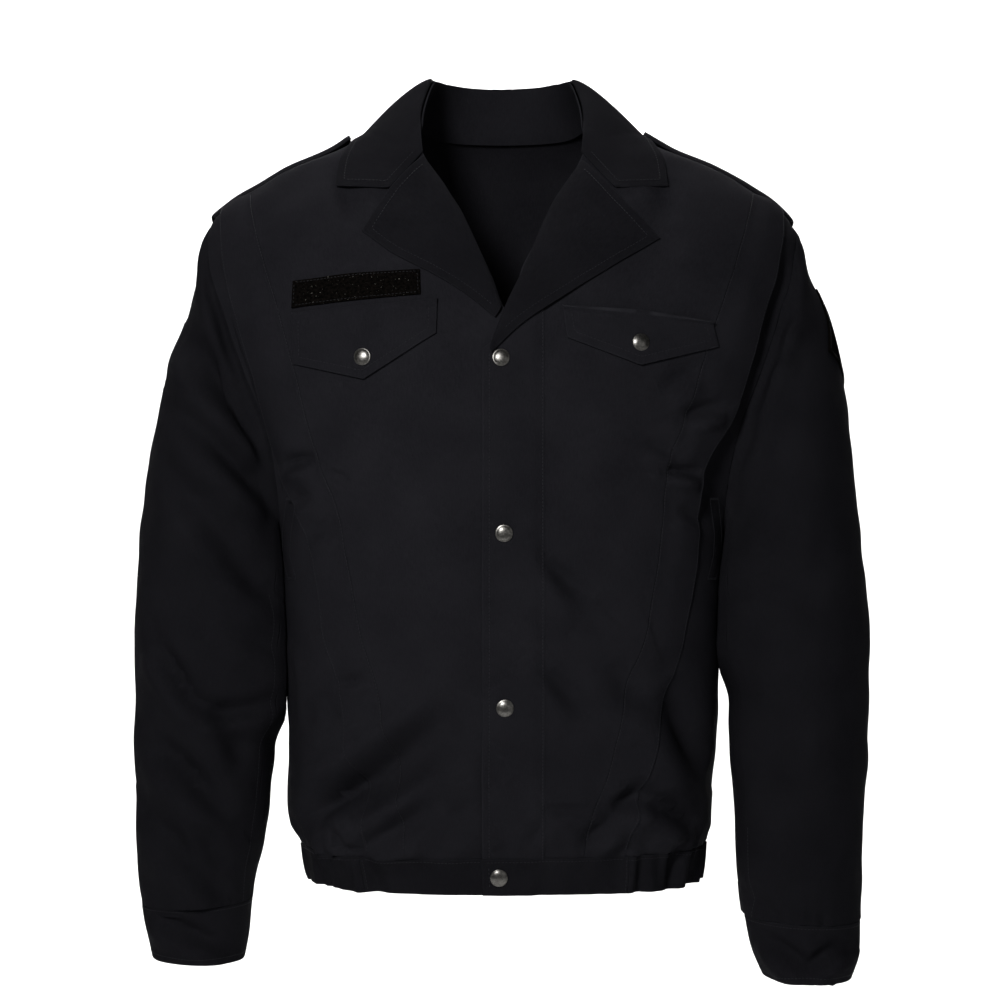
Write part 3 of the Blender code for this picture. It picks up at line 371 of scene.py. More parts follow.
def form(turn, z):
    """The torso form's points at an angle round the body and a height."""
    turn, z = np.broadcast_arrays(np.asarray(turn, float), np.asarray(z, float))
    wide = smooth(BODY, "half_width", z)
    deep = np.where(np.cos(turn) > 0, -smooth(BODY, "front", z), smooth(BODY, "back", z))
    side = np.sin(turn)
    y = deep * np.maximum(1 - np.abs(side) ** SQUARENESS, 0) ** (1 / SQUARENESS)
    return np.stack([smooth(BODY, "centre_x", z) + wide * side, y, z], -1)


def turn_at(x, z):
    """The angle of the front's place that is seen at x, z from the front."""
    ratio = (np.asarray(x) - smooth(BODY, "centre_x", z)) / smooth(BODY, "half_width", z)
    return np.arcsin(np.clip(ratio, -1, 1))


def reach(points):
    """1 on the form, less inside it and more outside."""
    x, y, z = np.moveaxis(points, -1, 0)
    wide = smooth(BODY, "half_width", z)
    deep = np.where(y < 0, smooth(BODY, "front", z), smooth(BODY, "back", z))
    x = x - smooth(BODY, "centre_x", z)
    return (np.abs(x / wide) ** SQUARENESS + np.abs(y / deep) ** SQUARENESS) ** (1 / SQUARENESS)


def away(points):
    """The form's outward direction at points near it, and each point's distance outside it."""
    step = 0.0005
    slope = np.stack(
        [(reach(points + step * e) - reach(points - step * e)) / (2 * step) for e in np.eye(3)], -1
    )
    steep = np.linalg.norm(slope, axis=-1, keepdims=True)
    return slope / steep, ((reach(points) - 1) / steep[..., 0])


def clear(points, gap):
    """The points, with those less than gap outside the form moved out to it."""
    for _ in range(4):
        direction, out = away(points)
        points = points + direction * np.maximum(gap - out, 0)[..., None]
    return points


def on_front(x, z, lift):
    """Points over the front of the torso, seen at x, z and moved out by lift."""
    points = form(turn_at(x, z), z)
    return points + away(points)[0] * np.asarray(lift)[..., None]


def along(rows, names, at):
    """A smooth curve through a table's rows, with its places spread evenly from 0 to 1."""
    return np.stack([spline(np.linspace(0, 1, len(rows[n])), rows[n], at) for n in names], -1)


def folded(points, rows):
    """How far the folds of a table raise each point, seen from the front."""
    x, z = points[..., 0], points[..., 2]
    total = np.zeros_like(x)
    for x0, z0, x1, z1, width, height in zip(*rows.values()):
        dx, dz = x1 - x0, z1 - z0
        part = np.clip(((x - x0) * dx + (z - z0) * dz) / (dx * dx + dz * dz), 0, 1)
        apart = np.hypot(x - x0 - part * dx, z - z0 - part * dz)
        total += height * np.exp(-((apart / width) ** 2))
    return total


def patch(low, high, start, end, rows, columns):
    """A grid between four edges: low and high run along the columns, start and end along the rows."""
    u, v = np.linspace(0, 1, columns)[None, :, None], np.linspace(0, 1, rows)[:, None, None]
    flat_u, flat_v = u[0, :, 0], v[:, 0, 0]
    bottom, top = low(flat_u)[None], high(flat_u)[None]
    left, right = start(flat_v)[:, None], end(flat_v)[:, None]
    corners = (
        (1 - u) * (1 - v) * bottom[:, :1]
        + u * (1 - v) * bottom[:, -1:]
        + (1 - u) * v * top[:, :1]
        + u * v * top[:, -1:]
    )
    return (1 - v) * bottom + v * top + (1 - u) * left + u * right - corners


def broken(*points):
    """A function that reads a line of straight stretches through points, from 0 to 1."""
    points = np.array(points, float)
    at = np.linspace(0, 1, len(points))
    return lambda t: np.stack([np.interp(t, at, points[:, k]) for k in range(points.shape[1])], -1)


def ring_point(rows, at, theta):
    """A sleeve's points, for the left arm: 0 is outermost, 90 degrees is in front."""
    outer_x, outer_z, inner_x, inner_z, mid_y, deep = np.moveaxis(along(rows, RING_NAMES, at), -1, 0)
    c, s = np.cos(theta), np.sin(theta)
    x = (outer_x + inner_x) / 2 + (outer_x - inner_x) / 2 * c
    z = (outer_z + inner_z) / 2 + (outer_z - inner_z) / 2 * c
    return np.stack([x, mid_y - deep * s, z], -1)


def sleeve_form(rows, at, theta):
    """A sleeve's smooth points, which start as the armhole and become the table's rings."""
    turned = np.where(theta > pi, theta - 2 * pi, theta)
    hole = armhole(turned, SLEEVE_INSET)
    sewn = form(hole[..., 0], hole[..., 1]) - ring_point(rows, 0 * at, theta)
    fade = np.clip(1 - at / SEWN_FADE, 0, 1) ** 2
    return ring_point(rows, at, theta) + fade[..., None] * sewn


def sleeve_surface(rows, folds, sign, at, theta, lift):
    """A sleeve's points with its folds, moved out by lift and clear of the torso."""
    at, theta = np.broadcast_arrays(at, theta)
    points = sleeve_form(rows, at, theta)
    down = sleeve_form(rows, at + 0.01, theta) - sleeve_form(rows, at - 0.01, theta)
    round_it = sleeve_form(rows, at, theta + 0.02) - sleeve_form(rows, at, theta - 0.02)
    normal = np.cross(round_it, down)
    normal /= np.linalg.norm(normal, axis=-1, keepdims=True) + 1e-12
    middle = (sleeve_form(rows, at, 0 * theta) + sleeve_form(rows, at, 0 * theta + pi)) / 2
    normal *= np.where(np.sum(normal * (points - middle), -1) > 0, 1, -1)[..., None]
    free = np.clip(at * 8 - 0.5, 0, 1)
    points = points + normal * (folded(points * (sign, 1, 1), folds) * free + lift)[..., None]
    return clear(points, SLEEVE_GAP) * (sign, 1, 1)


def armhole(theta, inset):
    """A place on an armhole's seam: 0 at the shoulder, 90 degrees in front, 180 underneath."""
    middle, half = (ARMHOLE_TOP + ARMHOLE_FOOT) / 2, (ARMHOLE_TOP - ARMHOLE_FOOT) / 2
    z = middle + (half - inset) * np.cos(theta)
    swing = (ARMHOLE_REACH - inset / 0.16) * np.abs(np.sin(theta)) ** 0.8
    return np.stack([pi / 2 - np.sign(np.sin(theta)) * swing, z], -1)

# Finer sizes that only show close up
EDGE_TURN = 0.34  # of the cloth's thickness, by which a free edge is rolled in from each face
EDGE_LINES = (0.0004, 0.0011)  # lines of points this far in from a free edge
COARSE = 3  # the inner face has one point for this many of the outer's
STITCH_PITCH = 0.0031
STITCH_LENGTH = 0.0023
STITCH_RADIUS = 0.00030
FINE_STITCH = 0.00020
EDGE_SEAM = 0.0070  # from a flap's, lapel's or collar's edge to its row of stitches
HEAD_SINK = 0.0010  # of a sleeve's head below the torso's edge, from under which it comes
SLEEVE_SEAM = (radians(143), radians(156))  # where a sleeve's seam runs, at its top and its cuff
SIDE_CAP = 0.0004  # the most that the torso's creases rise where a sleeve lies on it
SIDE_LAP = 0.0004  # how far each panel runs past the side seam, so that no light shows in it
VALLEY = 0.0070  # the panel beside a pleat lies this much deeper along the armhole
TUCK = 0.0070  # how far a panel runs in behind what is sewn over it
TUCK_DEPTH = WALL + 0.0010
STRAP_LIFTS = {"right": STRAP_END_LIFT, "left": 0.0038}  # the left strap's end stands up
STRAP_ENDS = {"right": (0.0, 0.004), "left": (-0.008, 0.006)}  # how far each end is moved out
PATCH_TURN = 0.0085  # the patch lies this much further round to the front

# Creases as seen from the front: from one place to another, how far the middle bows to the left of
# that way, the widths at both ends, the height (below 0 in a trough), and the share of it that the
# cloth goes the other way beside it, to the right of the way.
CREASE = "x0 z0 x1 z1 bow width0 width1 height beside"
FRONT_CREASES = table(
    CREASE,
    # the right half's fold over the waistband, and what runs out from it
    (-0.186, -0.602, -0.032, -0.494, -0.007, 0.014, 0.026, -0.0240, 0.60),
    (-0.184, -0.562, -0.042, -0.464, -0.007, 0.012, 0.017, 0.0095, 0.00),
    (-0.166, -0.590, -0.116, -0.552, 0.002, 0.008, 0.009, -0.0095, 0.80),
    (-0.130, -0.616, -0.046, -0.562, -0.004, 0.009, 0.013, -0.0150, 0.70),
    (-0.126, -0.593, -0.050, -0.540, -0.004, 0.008, 0.010, 0.0050, 0.00),
    (-0.153, -0.589, -0.126, -0.597, 0.003, 0.007, 0.008, 0.0070, 0.50),
    (-0.080, -0.606, -0.020, -0.570, -0.003, 0.013, 0.016, -0.0105, 0.60),
    (-0.143, -0.475, -0.115, -0.467, 0.001, 0.004, 0.005, -0.0040, 0.60),
    (-0.145, -0.488, -0.153, -0.518, 0.001, 0.007, 0.007, -0.0030, 0.50),
    (-0.152, -0.602, -0.126, -0.616, 0.002, 0.005, 0.005, -0.0060, 0.80),
    # pulls from the placket's stitches on the left half
    (0.037, -0.364, 0.079, -0.404, -0.001, 0.006, 0.013, -0.0080, 0.70),
    (0.037, -0.458, 0.075, -0.497, -0.001, 0.006, 0.012, -0.0065, 0.60),
    (0.037, -0.577, 0.076, -0.581, 0.000, 0.004, 0.006, -0.0045, 0.70),
    (0.041, -0.582, 0.078, -0.600, 0.001, 0.005, 0.006, -0.0030, 0.60),
    (0.021, -0.612, 0.035, -0.588, 0.000, 0.006, 0.006, -0.0030, 0.50),
    # the left half's folds over the waistband
    (0.142, -0.466, 0.184, -0.556, -0.003, 0.020, 0.023, -0.0160, 0.60),
    (0.093, -0.582, 0.127, -0.565, 0.002, 0.008, 0.010, -0.0115, 0.70),
    (0.118, -0.566, 0.175, -0.604, 0.003, 0.010, 0.011, -0.0135, 0.75),
    (0.068, -0.610, 0.100, -0.585, 0.001, 0.007, 0.009, -0.0090, 0.60),
    (0.094, -0.450, 0.134, -0.500, -0.003, 0.015, 0.015, -0.0060, 0.60),
    (0.150, -0.560, 0.180, -0.590, 0.002, 0.008, 0.008, -0.0030, 0.60),
    # short ones beside the pleats
    (0.133, -0.221, 0.171, -0.202, 0.001, 0.009, 0.009, -0.0050, 0.60),
    (0.154, -0.244, 0.193, -0.232, 0.001, 0.006, 0.007, -0.0075, 0.80),
    (0.121, -0.267, 0.151, -0.275, 0.001, 0.006, 0.006, -0.0035, 0.60),
    (0.140, -0.290, 0.172, -0.292, 0.001, 0.005, 0.006, -0.0085, 0.90),
    (0.148, -0.322, 0.176, -0.336, 0.002, 0.007, 0.008, -0.0035, 0.60),
    (-0.191, -0.286, -0.161, -0.279, 0.001, 0.006, 0.007, -0.0075, 0.80),
    (-0.151, -0.292, -0.130, -0.300, 0.001, 0.004, 0.005, -0.0035, 0.60),
    (-0.183, -0.319, -0.162, -0.310, 0.001, 0.005, 0.006, -0.0035, 0.70),
    (-0.172, -0.346, -0.142, -0.338, 0.002, 0.007, 0.008, -0.0030, 0.60),
    # broad faint ones over the chest and the shoulders
    (-0.141, -0.028, -0.131, -0.082, 0.003, 0.011, 0.012, -0.0055, 0.35),
    (0.147, -0.030, 0.139, -0.078, -0.003, 0.011, 0.012, -0.0040, 0.35),
    (-0.060, -0.330, -0.020, -0.430, 0.006, 0.016, 0.020, 0.0020, 0.50),
    (-0.105, -0.400, -0.030, -0.470, 0.006, 0.018, 0.022, 0.0026, 0.50),
    (0.110, -0.240, 0.070, -0.330, -0.006, 0.018, 0.022, 0.0022, 0.50),
    (-0.030, -0.215, -0.110, -0.270, 0.006, 0.016, 0.020, 0.0020, 0.50),
    (0.170, -0.090, 0.120, -0.130, 0.004, 0.014, 0.018, 0.0024, 0.50),
    (-0.170, -0.080, -0.130, -0.112, -0.004, 0.014, 0.018, 0.0024, 0.50),
)
BACK_CREASES = table(
    CREASE,
    (-0.150, -0.592, -0.060, -0.545, 0.006, 0.010, 0.014, 0.0040, 0.60),
    (0.155, -0.588, 0.050, -0.556, -0.006, 0.010, 0.014, 0.0040, 0.60),
    (-0.050, -0.600, 0.060, -0.590, 0.005, 0.010, 0.012, 0.0034, 0.60),
    (-0.130, -0.480, -0.020, -0.440, 0.008, 0.014, 0.020, 0.0030, 0.50),
    (0.140, -0.460, 0.030, -0.412, -0.008, 0.014, 0.020, 0.0030, 0.50),
    (-0.180, -0.345, -0.115, -0.225, 0.008, 0.010, 0.018, 0.0034, 0.60),
    (0.180, -0.345, 0.115, -0.225, -0.008, 0.010, 0.018, 0.0034, 0.60),
    (-0.165, -0.400, -0.090, -0.330, 0.006, 0.012, 0.018, 0.0028, 0.60),
    (0.168, -0.395, 0.080, -0.335, -0.006, 0.012, 0.018, 0.0026, 0.60),
    (-0.040, -0.520, 0.070, -0.500, 0.006, 0.014, 0.016, 0.0024, 0.50),
    (-0.140, -0.110, -0.070, -0.090, 0.004, 0.016, 0.020, 0.0014, 0.50),
    (0.140, -0.110, 0.070, -0.090, -0.004, 0.016, 0.020, 0.0014, 0.50),
    (-0.170, -0.540, -0.120, -0.500, 0.004, 0.009, 0.012, 0.0026, 0.60),
    (0.172, -0.530, 0.125, -0.480, -0.004, 0.009, 0.012, 0.0026, 0.60),
)
RIGHT_SLEEVE_CREASES = table(
    CREASE,
    (-0.262, -0.100, -0.200, -0.297, 0.002, 0.007, 0.009, -0.0090, 0.50),
    (-0.282, -0.166, -0.198, -0.286, 0.003, 0.016, 0.011, -0.0150, 0.75),
    (-0.290, -0.228, -0.197, -0.322, 0.003, 0.014, 0.011, -0.0145, 0.75),
    (-0.290, -0.288, -0.214, -0.389, 0.003, 0.014, 0.013, -0.0095, 0.70),
    (-0.248, -0.364, -0.207, -0.408, 0.002, 0.011, 0.011, -0.0055, 0.60),
    (-0.301, -0.434, -0.260, -0.498, -0.003, 0.010, 0.008, -0.0115, 0.75),
    (-0.272, -0.487, -0.203, -0.489, -0.010, 0.008, 0.009, -0.0095, 0.70),
    (-0.310, -0.518, -0.232, -0.594, 0.003, 0.013, 0.011, -0.0135, 0.70),
    (-0.254, -0.494, -0.223, -0.549, 0.003, 0.012, 0.012, -0.0080, 0.60),
    (-0.314, -0.586, -0.236, -0.665, 0.003, 0.013, 0.011, -0.0110, 0.70),
    (-0.270, -0.590, -0.238, -0.640, 0.002, 0.010, 0.010, -0.0080, 0.60),
    (-0.300, -0.390, -0.245, -0.440, 0.004, 0.012, 0.014, -0.0035, 0.60),
    (-0.240, -0.425, -0.206, -0.450, 0.002, 0.008, 0.009, -0.0035, 0.60),
)
RIGHT_SLEEVE_BACK = table(
    CREASE,
    (-0.262, -0.200, -0.208, -0.300, 0.006, 0.011, 0.010, 0.0046, 0.55),
    (-0.280, -0.300, -0.214, -0.380, 0.006, 0.012, 0.011, 0.0044, 0.55),
    (-0.298, -0.400, -0.225, -0.470, 0.006, 0.013, 0.012, 0.0046, 0.55),
    (-0.304, -0.500, -0.226, -0.560, 0.006, 0.012, 0.012, 0.0046, 0.60),
    (-0.300, -0.590, -0.232, -0.630, 0.004, 0.010, 0.010, 0.0036, 0.60),
)
LEFT_SLEEVE_CREASES = table(
    CREASE,
    (0.199, -0.266, 0.252, -0.124, -0.004, 0.010, 0.008, -0.0110, 0.60),
    (0.228, -0.176, 0.256, -0.154, 0.001, 0.008, 0.007, -0.0060, 0.70),
    (0.222, -0.205, 0.268, -0.182, 0.002, 0.008, 0.010, -0.0035, 0.60),
    (0.216, -0.584, 0.256, -0.488, -0.004, 0.014, 0.016, -0.0040, 0.60),
    (0.226, -0.420, 0.292, -0.345, -0.004, 0.016, 0.018, -0.0035, 0.60),
    (0.240, -0.564, 0.307, -0.532, 0.004, 0.016, 0.018, -0.0038, 0.60),
    (0.238, -0.640, 0.300, -0.604, 0.004, 0.013, 0.015, -0.0038, 0.60),
    (0.208, -0.652, 0.244, -0.680, 0.002, 0.008, 0.008, -0.0045, 0.60),
    (0.240, -0.240, 0.206, -0.300, 0.003, 0.010, 0.010, 0.0035, 0.55),
)
LEFT_SLEEVE_BACK = table(
    CREASE,
    (0.266, -0.230, 0.208, -0.320, -0.006, 0.012, 0.010, 0.0044, 0.55),
    (0.286, -0.330, 0.216, -0.410, -0.006, 0.012, 0.011, 0.0044, 0.55),
    (0.300, -0.440, 0.226, -0.500, -0.006, 0.013, 0.012, 0.0046, 0.55),
    (0.300, -0.530, 0.226, -0.590, -0.006, 0.012, 0.012, 0.0044, 0.60),
)
RIGHT_CUFF_CREASES = table(
    CREASE,
    (-0.312, -0.674, -0.234, -0.706, 0.002, 0.008, 0.009, -0.0095, 0.80),
)
LEFT_CUFF_CREASES = table(
    CREASE,
    (0.220, -0.686, 0.266, -0.716, -0.001, 0.008, 0.009, -0.0090, 0.80),
    (0.256, -0.716, 0.285, -0.696, 0.000, 0.007, 0.007, -0.0090, 0.70),
    (0.276, -0.695, 0.306, -0.703, 0.001, 0.007, 0.007, -0.0065, 0.70),
)

LEAN_END = {"right": -0.536, "left": -0.492}  # how far down each sleeve leans on the body

# The slanting pocket's mouth, on the panel beside each pleat
POCKET = table(
    "out z",
    (0.1835, -0.3840),
    (0.1895, -0.3640),
    (0.1890, -0.3440),
    (0.1850, -0.3140),
)

made = {}


def smoothstep(x):
    x = np.clip(x, 0, 1)
    return x * x * (3 - 2 * x)


def waves(points, size, seed, count=14):
    """Smooth unevenness from crossing waves of about that size, mostly between -1 and 1."""
    chance = np.random.default_rng(seed)
    way = chance.normal(size=(count, 3))
    way /= np.linalg.norm(way, axis=1, keepdims=True)
    turn = points @ (way / (size * chance.uniform(0.7, 1.6, (count, 1)))).T * 2 * pi
    return np.sin(turn + chance.uniform(0, 2 * pi, count)).sum(-1) / np.sqrt(count)


def traced(rows, place, depth):
    """Each crease of a table as a line of points on its form, with its widths and heights."""
    found = []
    for x0, z0, x1, z1, bow, width0, width1, height, beside in zip(*rows.values()):
        t = np.linspace(0, 1, 13)
        long = np.hypot(x1 - x0, z1 - z0)
        bend = bow * np.sin(pi * t) / long
        x = x0 + (x1 - x0) * t - (z1 - z0) * bend
        z = z0 + (z1 - z0) * t + (x1 - x0) * bend
        line = place(x, z)
        for _ in range(3):
            line[1:-1] = (line[:-2] + 2 * line[1:-1] + line[2:]) / 4
        found.append((line, width0, width1, height * depth, beside))
    return found


def relief(points, normals, creases):
    """How far the creases raise each point along its normal."""
    flat, out = points.reshape(-1, 3), normals.reshape(-1, 3)
    total = np.zeros(len(flat))
    for line, width0, width1, height, beside in creases:
        margin = 4 * max(width0, width1)
        near = np.all((flat > line.min(0) - margin) & (flat < line.max(0) + margin), 1).nonzero()[0]
        if not len(near):
            continue
        ahead = line[1:] - line[:-1]
        start = flat[near][:, None] - line[:-1]
        part = np.clip((start * ahead).sum(-1) / ((ahead**2).sum(-1) + 1e-12), 0, 1)
        gap = start - part[..., None] * ahead
        apart = np.linalg.norm(gap, axis=-1)
        k, i = apart.argmin(1), np.arange(len(near))
        t = (k + part[i, k]) / len(ahead)
        side = np.sign(np.sum(np.cross(ahead[k], out[near]) * gap[i, k], -1))
        d = side * apart[i, k] / (width0 + (width1 - width0) * t)
        ridge = np.exp(-(d**2)) - beside * np.exp(-(((d - 1.7) / 1.3) ** 2))
        total[near] += height * np.sin(pi * np.clip(t, 0.03, 0.97)) ** 0.8 * ridge
    return total.reshape(points.shape[:-1])


TORSO_CREASES = traced(FRONT_CREASES, lambda x, z: form(turn_at(x, z), z), 1.0)
TORSO_CREASES += traced(BACK_CREASES, lambda x, z: form(pi - turn_at(x, z), z), 1.2)


def torso_relief(points, normals):
    """The torso's creases and unevenness, held down where a sleeve lies against it."""
    total = relief(points, normals, TORSO_CREASES)
    total += 0.0011 * waves(points, 0.11, 3) + 0.00035 * waves(points, 0.035, 4)
    low = smoothstep((points[..., 2] + 0.585) / -0.035)
    total += 0.0005 * low * waves(points * (1, 1, 0.35), 0.016, 5)
    across = np.abs(points[..., 0] - smooth(BODY, "centre_x", points[..., 2]))
    across = across / smooth(BODY, "half_width", points[..., 2])
    gathered = np.where(points[..., 1] > 0, 1, smoothstep((across - 0.45) / 0.2))
    over_band = smoothstep((BAND_TOP + 0.030 - points[..., 2]) / 0.030)
    total += 0.0036 * gathered * over_band * waves(points * (1, 1, 0.2), 0.018, 6)
    cap = SIDE_CAP + 0.012 * smoothstep((0.95 - across) / 0.12)
    return np.minimum(total, cap)


def skin(turn, z, lift=0):
    """Points of the creased torso at an angle and a height, moved out by lift."""
    points = form(turn, z)
    normals = away(points)[0]
    return points + normals * (torso_relief(points, normals) + lift)[..., None]


def tucked(distance):
    """How far cloth sinks once it has gone that far in behind a seam."""
    return -TUCK_DEPTH * smoothstep(distance / 0.0034)


def seen(x, z, lift=0):
    """Points of the creased front, seen at x, z and moved out by lift."""
    return skin(turn_at(x, z), z, lift)


def fine(count, length):
    """Places from 0 to 1 along a length, with extra ones just inside both ends."""
    near = np.array([0, *EDGE_LINES]) / length
    even = np.linspace(0, 1, count)
    even = even[(even > 1.6 * near[-1]) & (even < 1 - 1.6 * near[-1])]
    return np.concatenate([near, even, 1 - near[::-1]])


def normals_of(grid, inside, closed):
    """Unit directions square to a grid, away from inside, and 1 if the grid's own faces point so."""
    if closed:
        across = np.roll(grid, -1, 1) - np.roll(grid, 1, 1)
    else:
        across = np.gradient(grid, axis=1)
        across /= np.linalg.norm(across, axis=-1, keepdims=True) + 1e-12
    down = np.gradient(grid, axis=0)
    normal = np.cross(across, down / (np.linalg.norm(down, axis=-1, keepdims=True) + 1e-12))
    normal /= np.linalg.norm(normal, axis=-1, keepdims=True) + 1e-12
    sign = 1 if np.sum(normal * (grid - inside), -1).mean() > 0 else -1
    return normal * sign, sign


def chosen(count, closed):
    """The lines of an outer face that its coarser inner face also has."""
    picked = list(range(0, count, COARSE))
    if not closed and picked[-1] != count - 1:
        picked.append(count - 1)
    return np.array(picked)


def cloth(name, grid, inside, thickness, finish, closed=False, seams=()):
    """A shell of cloth: a fine outer face, a coarser inner one, and free edges rolled in."""
    rows, columns = grid.shape[:2]
    thick = np.broadcast_to(np.asarray(thickness, float), (rows, columns))[..., None]
    normal, sign = normals_of(grid, inside, closed)
    rim = np.zeros((rows, columns, 1))
    for line, share in ((0, 1.0), (1, 0.30)):
        rim[[line, -1 - line]] = np.maximum(rim[[line, -1 - line]], share)
        if not closed:
            rim[:, [line, -1 - line]] = np.maximum(rim[:, [line, -1 - line]], share)
    outer = grid - normal * thick * rim * EDGE_TURN
    r, c = chosen(rows, False), chosen(columns, closed)
    pick = np.ix_(r, c)
    inner = (grid - normal * thick * (1 - rim * EDGE_TURN))[pick]
    start = rows * columns

    i, j = np.arange(rows - 1)[:, None], np.arange(columns if closed else columns - 1)[None, :]
    corners = [(i, j), (i, j + 1), (i + 1, j + 1), (i + 1, j)]
    outer_quads = np.stack([a * columns + b % columns + 0 * (i + j) for a, b in corners], -1).reshape(-1, 4)
    places = np.stack([np.stack(np.broadcast_arrays(a, b), -1) for a, b in corners], -2).reshape(-1, 4, 2)
    m, n = np.arange(len(r) - 1)[:, None], np.arange(len(c) if closed else len(c) - 1)[None, :]
    corners = [(m, n), (m + 1, n), (m + 1, n + 1), (m, n + 1)]
    inner_quads = np.stack([start + a * len(c) + b % len(c) + 0 * (m + n) for a, b in corners], -1)
    inner_quads = inner_quads.reshape(-1, 4)
    rims = []
    ends = list(c) + [columns] if closed else list(c)
    for row, inner_row, way in ((0, 0, -1), (rows - 1, len(r) - 1, 1)):
        for k in range(len(ends) - 1):
            along_outer = [row * columns + x % columns for x in range(ends[k], ends[k + 1] + 1)]
            a, b = start + inner_row * len(c) + k, start + inner_row * len(c) + (k + 1) % len(c)
            rims.append((along_outer + [b, a])[::way])
    if not closed:
        for column, inner_column, way in ((0, 0, 1), (columns - 1, len(c) - 1, -1)):
            for k in range(len(r) - 1):
                along_outer = [x * columns + column for x in range(r[k], r[k + 1] + 1)]
                a, b = start + k * len(c) + inner_column, start + (k + 1) * len(c) + inner_column
                rims.append((along_outer + [b, a])[::way])
    vertices = np.concatenate([outer.reshape(-1, 3), inner.reshape(-1, 3)])
    quads = np.concatenate([outer_quads, inner_quads])
    if sign < 0:
        quads = quads[:, ::-1]
        rims = [x[::-1] for x in rims]

    sizes = np.array([4] * len(quads) + [len(x) for x in rims])
    loops = np.concatenate([quads.ravel()] + [np.array(x) for x in rims])
    mesh = bpy.data.meshes.new(name)
    mesh.vertices.add(len(vertices))
    mesh.vertices.foreach_set("co", vertices.ravel())
    mesh.loops.add(len(loops))
    mesh.loops.foreach_set("vertex_index", loops.astype(np.int32))
    mesh.polygons.add(len(sizes))
    mesh.polygons.foreach_set("loop_start", (np.cumsum(sizes) - sizes).astype(np.int32))
    mesh.update(calc_edges=True)

    step_u = np.linalg.norm(np.diff(grid, axis=1), axis=-1).mean(0)
    step_v = np.linalg.norm(np.diff(grid, axis=0), axis=-1).mean(1)
    u, v = np.concatenate([[0], np.cumsum(step_u)]), np.concatenate([[0], np.cumsum(step_v)])
    u = np.append(u, u[-1] + step_u.mean())
    flat_uv = np.stack([np.tile(u[:columns], rows), np.repeat(v, columns)], -1)
    inner_uv = np.stack([np.tile(u[c], len(r)), np.repeat(v[r], len(c))], -1)
    uv = np.concatenate([flat_uv, inner_uv])[loops]
    outer_uv = np.stack([u[places[..., 1]], v[places[..., 0]]], -1)
    if sign < 0:
        outer_uv = outer_uv[:, ::-1]
    uv[: outer_quads.size] = outer_uv.reshape(-1, 2)
    mesh.uv_layers.new(name="UVMap").data.foreach_set("uv", uv.ravel())

    groove = np.full(len(vertices), 0.02)
    edge = np.full(len(vertices), 0.02)
    lines = [grid[0], grid[-1]] if closed else [grid[0], grid[-1], grid[:, 0], grid[:, -1]]
    edge[:start] = distance_to(lines, grid).ravel()
    if len(seams):
        groove[:start] = distance_to(seams, grid).ravel()
    for title, values in (("edge", edge), ("groove", groove)):
        mesh.attributes.new(title, "FLOAT", "POINT").data.foreach_set("value", values)
    mesh.shade_smooth()
    mesh.set_sharp_from_angle(angle=radians(62))
    mesh.materials.append(finish)
    piece = bpy.data.objects.new(name, mesh)
    bpy.context.collection.objects.link(piece)
    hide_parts(name)
    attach(piece, "root")
    made[name] = {"piece": piece, "grid": grid, "normal": normal, "edge": edge[:start].reshape(rows, columns)}
    return made[name]


def dense(line, step=0.0006):
    """A line with its points no further apart than step."""
    long = np.concatenate([[0], np.cumsum(np.linalg.norm(np.diff(line, axis=0), axis=1))])
    at = np.linspace(0, long[-1], max(int(long[-1] / step), 2))
    return np.stack([np.interp(at, long, line[:, k]) for k in range(3)], -1)


def distance_to(lines, grid, most=0.02):
    """Each point's distance to the nearest of the lines, at most that far."""
    points = np.concatenate([dense(line) for line in lines])
    tree = kdtree.KDTree(len(points))
    for k, point in enumerate(points):
        tree.insert(point, k)
    tree.balance()
    flat = grid.reshape(-1, 3)
    low, high = points.min(0) - most, points.max(0) + most
    near = np.all((flat > low) & (flat < high), 1)
    found = np.full(len(flat), most)
    found[near] = [min(tree.find(point)[2], most) for point in flat[near]]
    return found.reshape(grid.shape[:-1])


def contour(part, side, distance):
    """The line on a piece at a distance in from one of its sides, with its normals."""
    grid, normal, edge = part["grid"], part["normal"], part["edge"]
    if side in ("start", "end"):
        grid, normal, edge = (np.swapaxes(a, 0, 1) for a in (grid, normal, edge))
    if side in ("high", "end"):
        grid, normal, edge = grid[::-1], normal[::-1], edge[::-1]
    points, outs = [], []
    for k in range(grid.shape[1]):
        beyond = np.nonzero(edge[:, k] >= distance)[0]
        if not len(beyond) or beyond[0] == 0:
            continue
        i = beyond[0]
        if np.linalg.norm(grid[i, k] - grid[0, k]) > 2.4 * distance:
            continue
        f = (distance - edge[i - 1, k]) / (edge[i, k] - edge[i - 1, k])
        points.append(grid[i - 1, k] * (1 - f) + grid[i, k] * f)
        outs.append(normal[i - 1, k] * (1 - f) + normal[i, k] * f)
    return np.array(points), np.array(outs)


threads = []


